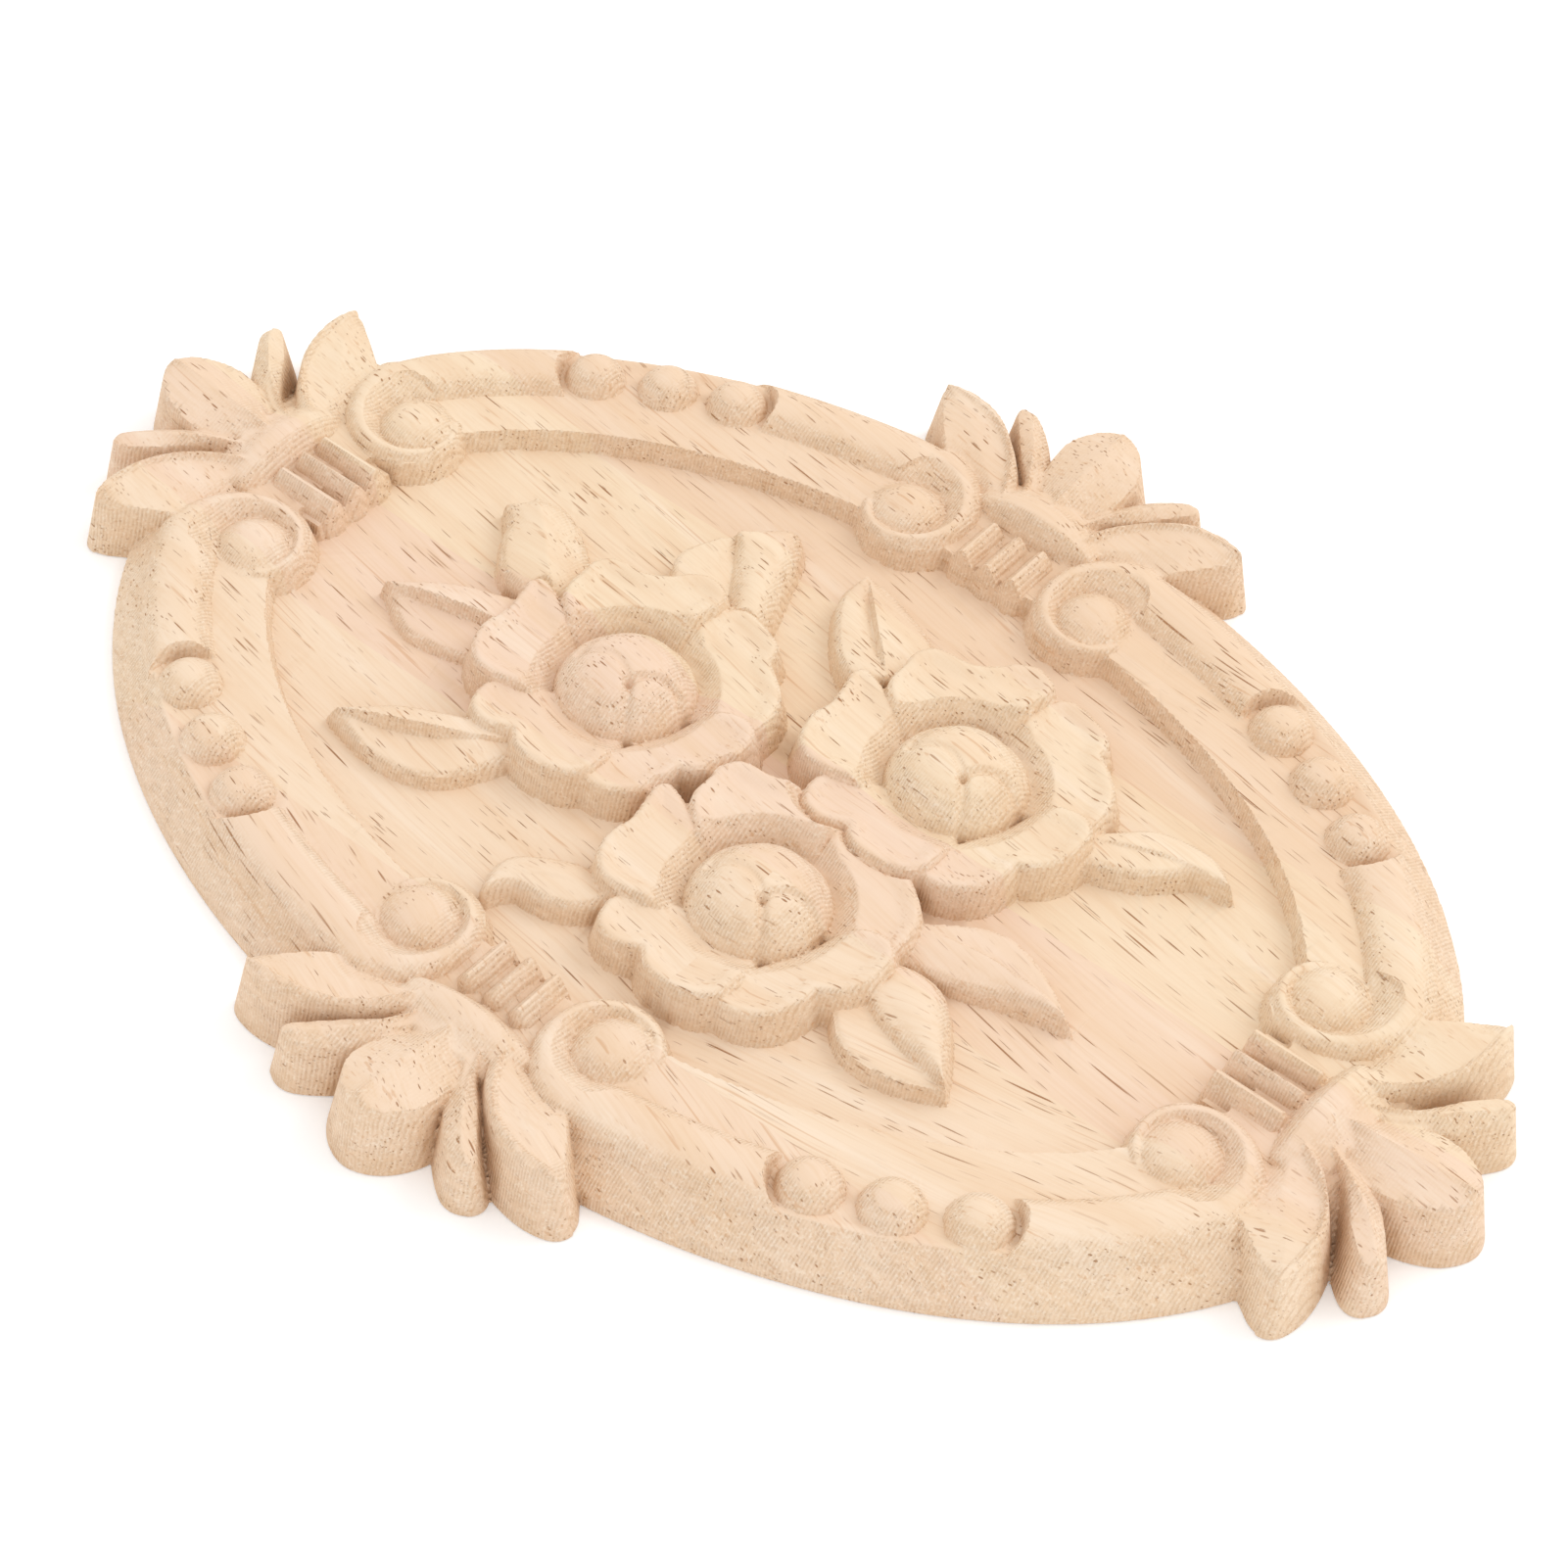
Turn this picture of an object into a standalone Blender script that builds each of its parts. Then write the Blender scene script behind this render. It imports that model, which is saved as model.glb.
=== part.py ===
"""Oval carved applique of unfinished rubberwood, cut from one board: a flat oval field with a stepped band
and a rolled rim that ends in scrolls, groups of three beads, fluted ribs, four palmettes of five leaves and
a bouquet of three flowers with leaves.

The blank is a fine grid. Each of its points is lifted to the height of the carving there, which is worked
out from the named features below, in millimetres: x along the board, y across it, z above the flat back.
"""

import bmesh
import bpy
import numpy as np

# Board and rim, as insets from the base ellipse and heights above the back
HALF_LENGTH = 133.9
HALF_WIDTH = 91.9
EDGE_HEIGHT = 2.5
SHOULDER_INSET = 6.9
SHOULDER_HEIGHT = 8.9
BAND_HEIGHT = 8.3
STEP_INSET = 28.2
STEP_RUN = 1.1
GROUND_HEIGHT = 4.0
BELOW = -3.0

# Rolled rim between the beads and the scrolls: half-width and crest height from the beads to the coil's end
ROLL_INSET = 12.0
ROLL_WIDTHS = (6.3, 6.3, 5.6, 3.8, 2.6, 1.9, 1.3)
ROLL_CRESTS = (11.8, 11.8, 11.8, 11.3, 10.7, 10.0, 9.2)
ROLL_FOOT = 7.4
BEADS = ((87.9, 54.5), (75.6, 61.4), (63.1, 66.9))
BEAD_RADIUS = 5.9
BEAD_FOOT = 7.4
BEAD_HEIGHT = 12.3
BEAD_GAP = 7.3

# Scrolls: eye centres in one quarter, and the radius of the coil's crest round the eye by angle
EYE_MAJOR = (104.4, 21.6)
EYE_MINOR = (21.4, 67.0)
EYE_RADIUS = 6.9
EYE_HEIGHT = 11.5
COIL_ANGLE = (0, 40, 80, 120, 160, 200, 250)
COIL_RADIUS = (12.2, 10.6, 9.5, 8.9, 8.4, 8.0, 7.6)
COIL_TURN = 250
# Channel between the coil's crest and the eye, by angle: its outer radius, the height there and at the eye
CHANNEL_ANGLE = (0, 60, 120, 180, 250, 290, 325, 345, 360)
CHANNEL_RADIUS = (12.2, 10.05, 8.9, 8.2, 7.6, 7.9, 9.6, 11.6, 12.2)
CHANNEL_HEIGHT = (11.8, 11.2, 10.7, 10.1, 9.2, 8.9, 10.2, 11.5, 11.8)
EYE_FOOT = (8.3, 8.3, 8.4, 8.7, 9.1, 8.8, 8.5, 8.3, 8.3)
# Flank outside the coil, by angle: where its slope steepens and its height at the coil
FLANK_ANGLE = (0, 50, 90, 150, 220, 290, 360)
FLANK_REACH = (9.0, 11.0, 11.8, 10.8, 9.0, 7.8, 8.0)
FLANK_TOP = (8.3, 9.2, 9.4, 9.1, 8.6, 8.2, 8.2)

# Fluted ribs and the arch beyond them: (inner end, outer end, arch) from the centre of the board
RIBS_MAJOR = (99.2, 112.5, 117.6)
RIBS_MINOR = (62.4, 72.5, 78.8)
RIB_PITCH = 5.6
RIB_HEIGHT = 11.4
RIB_DEPTH = 4.2
RIB_VALLEY = 7.2
ARCH_HEIGHT = 13.3
ARCH_SAG = 3.6
ARCH_REACH = 13.0

# Palmette leaves as (outwards, sideways): outline, midrib as root, control and tip, drop from the midrib to
# the edge on the far side and on the side towards the middle, and heights of the midrib from root to tip
PALM_MAJOR = (
    (
        ((115.5, 6), (119, 6.5), (123, 9.5), (127.5, 14.5), (130.8, 19.5), (132.4, 25), (132.9, 30),
         (132, 34), (130.2, 34.4), (127, 32.4), (122.5, 29.4), (117, 25), (114, 18)),
        ((117, 8), (133.6, 14.6), (131.4, 32.6)), (4.6, 1.2), (11.6, 12.6, 13.6, 13.3),
    ),
    (
        ((117, 2.5), (124, 3.4), (130.6, 5.8), (135.6, 10.5), (139.4, 15.2), (141.6, 18.8), (141, 21),
         (139, 21.6), (134.4, 17.7), (130, 12), (125, 7.4), (118, 6)),
        ((118, 4), (132, 8.6), (140, 19.6)), (1.8, 3.0), (11.2, 11.6, 11.9, 12.0),
    ),
    (
        ((116, 4), (122.5, 5.3), (128, 7.2), (133, 8.2), (137.5, 8.0), (141.8, 6.4), (145.2, 3.8), (147, 0),
         (145.2, -3.8), (141.8, -6.4), (137.5, -8.0), (133, -8.2), (128, -7.2), (122.5, -5.3), (116, -4)),
        ((117, 0), (132, 0), (145.6, 0)), (3.8, 3.8), (11.8, 12.9, 14.2, 14.5),
    ),
)
PALM_MINOR = (
    (
        ((77.5, 8), (80.5, 7.8), (86.2, 10.8), (91, 15.6), (94.6, 20.8), (96, 25.5), (96.3, 30),
         (95.4, 33.8), (93.5, 34.2), (90.4, 31.8), (86.3, 28.4), (82.3, 24.4), (78, 17)),
        ((79, 9), (96.4, 15.1), (94.8, 32.4)), (4.2, 1.2), (11.6, 12.6, 14.0, 13.8),
    ),
    (
        ((77, 3), (85, 3.8), (90.6, 6.4), (96.4, 10.7), (99.7, 14.3), (101.8, 17.7), (101.6, 20),
         (100, 20.9), (96.8, 18.4), (91, 13.4), (85.5, 8.4), (78, 6.5)),
        ((78, 5), (92.2, 9.2), (100.4, 18.8)), (1.8, 3.0), (11.2, 11.6, 11.9, 12.0),
    ),
    (
        ((76, 4), (83, 5.3), (89, 7.3), (94, 8.2), (98.4, 8.0), (102, 6.2), (104.8, 3.4), (106, 0),
         (104.8, -3.4), (102, -6.2), (98.4, -8.0), (94, -8.2), (89, -7.3), (83, -5.3), (76, -4)),
        ((78, 0), (92, 0), (104.6, 0)), (3.8, 3.8), (11.8, 12.9, 14.8, 15.4),
    ),
)
PALM_WALL = 5.0
# Web that joins the roots of the leaves: its reach from a root behind the arch, and its height there
WEB_ROOT = 6.0
WEB_REACH = 21.5
WEB_HEIGHT = 10.6

# Flowers: centres, heart and petals as (outline, angles of its two ends, heights there, height at the heart)
FLOWERS = ((-30.3, -3.6), (19.0, -26.4), (27.4, 18.2))
DOME_RADIUS = 13.0
DOME_FOOT = 7.4
DOME_HEIGHT = 15.8
DOME_CUTS = (
    (((-2.5, 12.0), (5.5, 11.5), (12.4, 4.0)), 0.6),
    (((3.0, -3.0), (6.0, -6.5), (8.4, -10.5)), 1.0),
    (((3.0, -3.0), (5.5, 4.4), (12.8, 1.2)), 1.0),
    (((3.0, -3.0), (-3.2, 2.6), (-9.2, -2.0)), 0.6),
    (((-9.2, -2.0), (-11.0, 4.0), (-7.4, 8.4)), 0.5),
)
PETALS = (
    (
        ((-6, 6), (-13, 2.2), (-20, 6), (-22.5, 9.5), (-22.8, 14.3), (-23.1, 17.1), (-21.4, 20.2),
         (-18.6, 21.2), (-14, 21.6), (-10.1, 23.9), (-7.6, 26.9), (-4.5, 28.6), (-1.2, 28.2), (1.2, 26.6),
         (1.6, 24), (0.9, 21.1), (0.3, 17), (0.2, 11)),
        (94, 160), (13.2, 12.6), 7.6,
    ),
    (
        ((0, 6), (0.2, 11), (0.5, 17), (0.9, 22), (2.3, 26.4), (5, 28), (8.4, 27.6), (12.5, 26.2),
         (15.2, 24.4), (16.2, 20.8), (16.2, 20.8), (19.8, 18.4), (23.2, 15.2), (24.8, 11.5), (25.2, 7.2),
         (24.4, 3.6), (20, 4), (13, 2), (6, 2)),
        (16, 84), (11.0, 11.0), 7.6,
    ),
    (
        ((9.5, -9), (12.5, -3), (14.3, 1.8), (17.5, 4.6), (20.8, 6.1), (24, 6), (26.3, 3.8), (26.8, 0.8),
         (26.2, -3.9), (24, -7.8), (20.7, -10.1), (20.7, -10.1), (20.3, -13.5), (18.6, -18.2), (15.6, -21),
         (12.2, -22.4), (8.6, -21.6), (8, -15)),
        (-68, 12), (10.6, 12.4), 8.6,
    ),
    (
        ((-6, 1), (-13, 2.4), (-20, 6.4), (-25, 8.6), (-27.8, 9.2), (-29.2, 7.2), (-28.5, 4.2),
         (-27.3, -1.5), (-27.9, -5.5), (-27.4, -9), (-25.8, -12.3), (-22.7, -14.8), (-18.7, -15.4),
         (-13.7, -14.2), (-9, -12), (-5, -6)),
        (160, 218), (11.2, 12.3), 7.8,
    ),
    (
        ((-9, -9), (-14, -12), (-18.4, -16), (-17.6, -21.4), (-14.9, -23.6), (-11.2, -24), (-7.2, -22.2),
         (-7.2, -22.2), (-5.2, -24.4), (-2.2, -25.5), (2.5, -25.6), (7.2, -24.1), (9.6, -20.4), (9.2, -14),
         (7, -9), (0, -8)),
        (221, 292), (10.6, 12.0), 8.8,
    ),
)
PETAL_DISH = 0.9

# Leaves of the bouquet: outline round from the root, midrib from root to tip, and on the left and the right
# of the midrib the height at the edge, at the midrib and of the bulge between them
SPRAY = (
    (
        ((-52, -8), (-55, 1), (-63.3, -0.6), (-72.3, -4.8), (-80.8, -12.3), (-80.8, -12.3), (-72, -17.2),
         (-63.8, -16.8), (-56, -14)),
        ((-55, -6), (-69, -10), (-79.5, -12.4)),
        (5.8, 7.2, 0.2),
        (8.2, 10.2, 0.2),
    ),
    (
        ((-36, -24), (-44, -26), (-50.2, -28.9), (-57.9, -33.2), (-64, -39.6), (-66.5, -41.6),
         (-66.5, -41.6), (-56, -43.9), (-47.8, -43.4), (-41, -39.7), (-36, -30.5)),
        ((-42, -30), (-54, -38.7), (-65, -41)),
        (7.3, 7.4, 0.0),
        (8.4, 10.4, 0.2),
    ),
    (
        ((-52, 10), (-56, 16), (-63.2, 21.9), (-68.5, 24.2), (-72, 23.3), (-72, 23.3), (-75.3, 20.0),
         (-78, 17.8), (-78, 17.8), (-74.0, 13.6), (-72.4, 10.6), (-67.6, 4.7), (-61.5, 2.4), (-54, 3)),
        ((-58, 7), (-64.6, 13.9), (-73, 21.0)),
        (8.4, 10.8, 0.3),
        (7.8, 10.8, 0.3),
    ),
    (
        ((-36, 18), (-45.3, 27.8), (-43.3, 36.6), (-40.9, 39.5), (-37.5, 44.5), (-33.3, 48.2),
         (-29.6, 45.4), (-26.8, 38.4), (-22.4, 27.0), (-22, 18)),
        ((-30, 24), (-34.5, 31), (-40.5, 39.5)),
        (8.6, 7.4, 0.6),
        (8.2, 7.8, 2.4),
    ),
    (
        ((0, 26), (-6.5, 27.5), (-13.2, 34.7), (-16.6, 41.0), (-16.2, 48.2), (-16.2, 48.2), (-11, 48.4),
         (-5, 46.5), (3, 43), (9, 36)),
        ((2, 30), (-7.5, 38.5), (-15.4, 47.2)),
        (8.6, 8.0, 0.9),
        (7.6, 10.4, 0.3),
    ),
    (
        ((46, 20), (53.5, 27.2), (60.6, 33.8), (71.3, 35.0), (77.5, 31.0), (77.5, 31.0), (70.6, 29.6),
         (67.4, 25.8), (62.4, 21.8), (55, 18.6), (48, 15)),
        ((50, 21), (62, 29.5), (77, 31.0)),
        (8.0, 9.6, 0.3),
        (8.6, 8.8, 0.2),
    ),
    (
        ((40, -15), (43.5, -10.1), (53.5, -3.8), (63.2, -5.2), (73.9, -11.4), (73.9, -11.4), (63.2, -14.0),
         (53.6, -17.4), (44, -19)),
        ((42, -12.5), (57, -7.2), (73.0, -10.9)),
        (8.6, 8.0, 0.0),
        (6.8, 9.0, 0.4),
    ),
    (
        ((38, -28), (44.7, -20.6), (54.2, -20.4), (61.9, -28.2), (67, -36.4), (67, -36.4), (58.3, -40.4),
         (49.3, -40.6), (43, -36)),
        ((43, -29), (50, -33.5), (65.0, -36.0)),
        (8.2, 8.4, 2.0),
        (7.8, 7.2, 0.0),
    ),
    (
        ((0, -40), (-9.3, -38.8), (-19.4, -44.9), (-20.4, -51.0), (-18.0, -55.6), (-18.0, -55.6),
         (-14.8, -50.8), (-8.4, -49.8), (-2.5, -46.5)),
        ((-4, -43), (-15.5, -45), (-18.2, -54.0)),
        (8.2, 8.8, 0.3),
        (7.4, 9.2, 0.2),
    ),
)
LEAF_WALL = 4.6

# Blank and facets
CELL = 0.7
BLANK_HALF = (156.1, 112.0)
FACETS = 8800


def smoothstep(value, start, end):
    t = np.clip((value - start) / (end - start), 0, 1)
    return t * t * (3 - 2 * t)


def round_max(a, b, blend):
    """The higher of two surfaces, with the corner between them rounded."""
    share = np.clip(0.5 + 0.5 * (a - b) / blend, 0, 1)
    return b + (a - b) * share + 0.5 * blend * share * (1 - share)


def ellipse_inset(x, y):
    """Inset d of the ellipse through each point, measured inwards from the base ellipse."""
    d = np.full(np.shape(x), 10.0)
    for _ in range(12):
        a = HALF_LENGTH - d
        b = HALF_WIDTH - d
        value = (x / a) ** 2 + (y / b) ** 2 - 1
        slope = 2 * x**2 / a**3 + 2 * y**2 / b**3
        d = np.clip(d - value / np.maximum(slope, 1e-9), -60, 60)
    return d


def along(x, y, path):
    """Nearest point of a path: its share of the length, the signed side distance and the distance."""
    starts, ends = path[:-1], path[1:]
    steps = ends - starts
    lengths = np.hypot(*steps.T)
    so_far = np.concatenate([[0], np.cumsum(lengths)])
    best = np.full(np.shape(x), np.inf)
    share = np.zeros(np.shape(x))
    side = np.zeros(np.shape(x))
    for (sx, sy), (dx, dy), length, before in zip(starts, steps, lengths, so_far):
        t = np.clip(((x - sx) * dx + (y - sy) * dy) / length**2, 0, 1)
        px, py = x - sx - t * dx, y - sy - t * dy
        distance = np.hypot(px, py)
        closer = distance < best
        best = np.where(closer, distance, best)
        share = np.where(closer, (before + t * length) / so_far[-1], share)
        side = np.where(closer, np.sign(dx * py - dy * px), side)
    return share, side * best, best


def curve(start, control, end, count=14):
    t = np.linspace(0, 1, count)[:, None]
    start, control, end = map(np.array, (start, control, end))
    return (1 - t) ** 2 * start + 2 * t * (1 - t) * control + t**2 * end


def cap(r, radius, foot, top):
    """Rounded button of a given radius: its height at distance r, far below outside it."""
    return foot + (top - foot) * np.sqrt(np.clip(1 - (r / radius) ** 2, 0, 1)) - 30 * (r >= radius)


def rim(inset):
    """Section of the board from its edge to the ground: slope, band and step."""
    slope = EDGE_HEIGHT + (SHOULDER_HEIGHT - EDGE_HEIGHT) * np.clip(inset / SHOULDER_INSET, 0, 1) ** 0.95
    down = (SHOULDER_HEIGHT - BAND_HEIGHT) * smoothstep(inset, SHOULDER_INSET, SHOULDER_INSET + 3)
    step = (BAND_HEIGHT - GROUND_HEIGHT) * np.clip((inset - STEP_INSET) / STEP_RUN, 0, 1)
    return slope - down - step + np.minimum(inset, 0) * 12


def ellipse_angle(point, inset):
    return np.arctan2(point[1] / (HALF_WIDTH - inset), point[0] / (HALF_LENGTH - inset))


def scroll_path(eye, turn, bead):
    """Crest line of a rim roll, from the bead at its end along the rim and round the eye."""
    out = np.arctan2(eye[1] / (HALF_WIDTH - 24.4) ** 2, eye[0] / (HALF_LENGTH - 24.4) ** 2)
    phi = np.radians(np.linspace(0, COIL_TURN, 30))
    radius = np.interp(np.degrees(phi), COIL_ANGLE, COIL_RADIUS)
    angle = out + turn * phi
    coil = np.stack([eye[0] + radius * np.cos(angle), eye[1] + radius * np.sin(angle)], -1)
    sweep = np.linspace(ellipse_angle(bead, ROLL_INSET), ellipse_angle(coil[0], ROLL_INSET), 26)[:-1]
    arc = [(HALF_LENGTH - ROLL_INSET) * np.cos(sweep), (HALF_WIDTH - ROLL_INSET) * np.sin(sweep)]
    return out, np.concatenate([np.stack(arc, -1), coil])


def scroll(x, y, base, eye, turn, bead):
    """One rim roll with the coil at its end, laid over the surface that is there."""
    out, path = scroll_path(eye, turn, bead)
    lengths = np.concatenate([[0], np.cumsum(np.hypot(*np.diff(path, axis=0).T))])
    at_coil = lengths[25] / lengths[-1]
    rest = 1 - at_coil
    knots = (0, at_coil - 0.1, at_coil, at_coil + 0.22 * rest, at_coil + 0.45 * rest, at_coil + 0.7 * rest, 1)
    share, _, distance = along(x, y, path)
    half = np.interp(share, knots, ROLL_WIDTHS)
    crest = np.interp(share, knots, ROLL_CRESTS)
    r = np.hypot(x - eye[0], y - eye[1])
    phi = np.degrees(np.mod(turn * (np.arctan2(y - eye[1], x - eye[0]) - out), 2 * np.pi))
    flank = np.interp(phi, FLANK_ANGLE, FLANK_TOP) + 2.2 - 0.25 * r
    z = np.maximum(base, flank - 3.2 * np.maximum(r - np.interp(phi, FLANK_ANGLE, FLANK_REACH), 0))
    roll = ROLL_FOOT + (crest - ROLL_FOOT) * np.sqrt(np.clip(1 - (distance / half) ** 2, 0, 1))
    gap = np.hypot(x - bead[0], y - bead[1])
    roll = roll - 30 * (distance >= half) - 4 * np.maximum(BEAD_GAP + 0.4 - gap, 0)
    z = np.where(r < 14, round_max(roll, z, 0.7), round_max(roll, z, 1.2))
    channel_radius = np.interp(phi, CHANNEL_ANGLE, CHANNEL_RADIUS)
    rise = np.clip((r - EYE_RADIUS) / (channel_radius - EYE_RADIUS), 0, 1)
    foot = np.interp(phi, CHANNEL_ANGLE, EYE_FOOT)
    channel = foot + (np.interp(phi, CHANNEL_ANGLE, CHANNEL_HEIGHT) - foot) * rise**0.9
    z = np.where(r < channel_radius, np.minimum(z, channel), z)
    eye_top = foot + (EYE_HEIGHT - foot) * np.clip(1 - (r / EYE_RADIUS) ** 2, 0, 1) ** 0.95
    return np.where(r < EYE_RADIUS, eye_top, z)


def fluting(out, across, size):
    """Three ribs between two scrolls and the arch beyond them."""
    inner, outer, arch_at = size
    z = RIB_VALLEY - 5 * np.maximum(inner + 0.6 - out, 0) - 5 * np.maximum(np.abs(across) - 9.5, 0)
    z = z - 0.8 * smoothstep(out, outer - 2, outer + 1) - 5 * np.maximum(out - arch_at, 0)
    for k in (-1, 0, 1):
        side = np.abs(across - k * RIB_PITCH) / (RIB_PITCH * 0.52)
        rib = RIB_HEIGHT - RIB_DEPTH * np.clip(side, 0, 1) ** 1.4 - 30 * (side >= 1)
        rib = rib - 5 * np.maximum(inner - out, 0) - 1.5 * np.maximum(out - outer, 0) ** 1.5
        z = np.maximum(z, rib)
    beyond = out - arch_at
    crest = ARCH_HEIGHT - ARCH_SAG * (across / ARCH_REACH) ** 2
    crest = crest - 3 * np.maximum(np.abs(across) - ARCH_REACH, 0)
    fall_to_ribs = 5.2 * smoothstep(-beyond, 0.6, 5.8) + 3 * np.maximum(-beyond - 5.8, 0)
    fall_to_leaves = 2.2 * smoothstep(beyond, 0.6, 7) + 3 * np.maximum(beyond - 7, 0)
    return round_max(z, crest - np.where(beyond < 0, fall_to_ribs, fall_to_leaves), 0.8)


def loop_through(points, steps=6):
    """Closed smooth curve through points; a point given twice makes a corner."""
    knots = np.array(points, float)
    before, after, second = np.roll(knots, 1, axis=0), np.roll(knots, -1, axis=0), np.roll(knots, -2, axis=0)
    t = np.linspace(0, 1, steps, endpoint=False)[:, None, None]
    bent = 2 * knots + (after - before) * t + (2 * before - 5 * knots + 4 * after - second) * t**2
    bent = bent + (3 * knots - before - 3 * after + second) * t**3
    sections = np.hypot(*(after - knots).T) > 0
    return (bent / 2).transpose(1, 0, 2)[sections].reshape(-1, 2)


def depth_inside(x, y, loop):
    """Distance to a closed curve, counted positive inside it."""
    nearest = np.full(np.shape(x), np.inf)
    inside = np.zeros(np.shape(x), bool)
    for (sx, sy), (ex, ey) in zip(loop, np.roll(loop, -1, axis=0)):
        dx, dy = ex - sx, ey - sy
        t = np.clip(((x - sx) * dx + (y - sy) * dy) / (dx * dx + dy * dy), 0, 1)
        nearest = np.minimum(nearest, np.hypot(x - sx - t * dx, y - sy - t * dy))
        crosses = (sy > y) != (ey > y)
        inside ^= crosses & (x < sx + (y - sy) * dx / (dy or 1))
    return np.where(inside, nearest, -nearest)


def palmette(out, across, arch_at, leaves):
    """Five leaves spread from behind the arch, each with a roof-shaped top and steep walls."""
    forward = out - arch_at + WEB_ROOT
    spread = np.hypot(forward, across)
    z = WEB_HEIGHT - 0.22 * spread - PALM_WALL * np.maximum(spread - WEB_REACH, 0)
    z = z - PALM_WALL * np.maximum(np.abs(across) - 0.95 * forward, 0)
    for outline, midrib, drops, heights in leaves:
        for sign in (1, -1) if midrib[2][1] else (1,):
            depth = depth_inside(out, sign * across, loop_through(outline))
            share, side, distance = along(out, sign * across, curve(*midrib, 50))
            from_midrib = distance / (distance + np.maximum(depth, 0) + 0.05)
            top = np.interp(share, (0, 0.35, 0.75, 1), heights)
            top = top - np.where(side > 0, *drops) * (1.2 - 0.7 * share) * from_midrib
            z = round_max(z, top - PALM_WALL * np.maximum(-depth, 0), 0.5)
    return z


def spray_leaf(x, y, outline, midrib, left, right):
    """A bouquet leaf: two halves that meet in a ridge, a hollow or a step along the midrib."""
    depth = depth_inside(x, y, loop_through(outline))
    _, side, distance = along(x, y, curve(*midrib))
    share = np.maximum(depth, 0) / (np.maximum(depth, 0) + distance + 0.05)
    halves = []
    for edge, rib, bulge in (left, right):
        halves.append(edge + (rib - edge) * share + 4 * bulge * share * (1 - share))
    top = halves[1] + (halves[0] - halves[1]) * smoothstep(side, -0.5, 0.5)
    top = top - 0.5 * (1 - smoothstep(depth, 0, 1.2))
    return top - LEAF_WALL * np.maximum(-depth, 0)


def flower(px, py, under):
    """Five petals and the heart, laid over a surface that dips to the petals' edge."""
    r = np.hypot(px, py)
    theta = np.degrees(np.arctan2(py, px))
    surface = np.full(np.shape(r), BELOW)
    away = np.full(np.shape(r), np.inf)
    for outline, (first, last), heights, heart in PETALS:
        depth = depth_inside(px, py, loop_through(outline))
        turned = np.mod(theta - first + 140, 360) - 140
        top = np.interp(turned, (0, last - first), heights)
        cup = (top - heart) * (1 - smoothstep(r, DOME_RADIUS - 0.5, DOME_RADIUS + 6.5))
        dish = PETAL_DISH * smoothstep(depth, 0.8, 4.5)
        edge = 0.5 * (1 - smoothstep(depth, 0, 1.0))
        surface = np.maximum(surface, top - np.maximum(cup, dish) - edge - LEAF_WALL * np.maximum(-depth, 0))
        away = np.minimum(away, -depth)
    dome = DOME_FOOT + (DOME_HEIGHT - DOME_FOOT) * np.clip(1 - (r / DOME_RADIUS) ** 2.3, 0, 1) ** 0.6
    for path, depth in DOME_CUTS:
        _, _, distance = along(px, py, curve(*path))
        dome = dome - depth * np.exp(-((distance / 0.8) ** 2))
    surface = np.where(r < DOME_RADIUS, np.maximum(surface, dome), surface)
    return np.maximum(surface, np.minimum(under, 9.0 + 1.3 * np.maximum(away, 0)))


def height(x, y):
    """Height of the carved face above the flat back at each point."""
    x = np.asarray(x, float)
    y = np.asarray(y, float)
    inset = ellipse_inset(x, y)
    z = rim(inset)
    ax, ay = np.abs(x), np.abs(y)
    ring = (inset > 1) & (inset < 40)
    for eye, turn, bead in ((EYE_MAJOR, -1, BEADS[0]), (EYE_MINOR, 1, BEADS[2])):
        z[ring] = scroll(ax[ring], ay[ring], z[ring], eye, turn, bead)
    for cx, cy in BEADS:
        r = np.hypot(ax - cx, ay - cy)
        z = round_max(z, cap(r, BEAD_RADIUS, BEAD_FOOT, BEAD_HEIGHT), 0.7)
    for out, across, ribs, leaves in ((ax, y, RIBS_MAJOR, PALM_MAJOR), (ay, x, RIBS_MINOR, PALM_MINOR)):
        near = (out > ribs[0] - 6) & (np.abs(across) < 16)
        z[near] = np.maximum(z[near], fluting(out[near], across[near], ribs))
        near = (out > ribs[2] - 4) & (np.abs(across) < 46)
        z[near] = round_max(z[near], palmette(out[near], across[near], ribs[2], leaves), 0.9)
    for outline, midrib, left, right in SPRAY:
        middle = np.mean(outline, axis=0)
        near = np.hypot(x - middle[0], y - middle[1]) < 30
        z[near] = np.maximum(z[near], spray_leaf(x[near], y[near], outline, midrib, left, right))
    for cx, cy in FLOWERS:
        near = np.hypot(x - cx, y - cy) < 36
        z[near] = flower(x[near] - cx, y[near] - cy, z[near])
    return np.maximum(z, BELOW)


def clear_scene():
    for item in list(bpy.data.objects):
        bpy.data.objects.remove(item, do_unlink=True)


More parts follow.
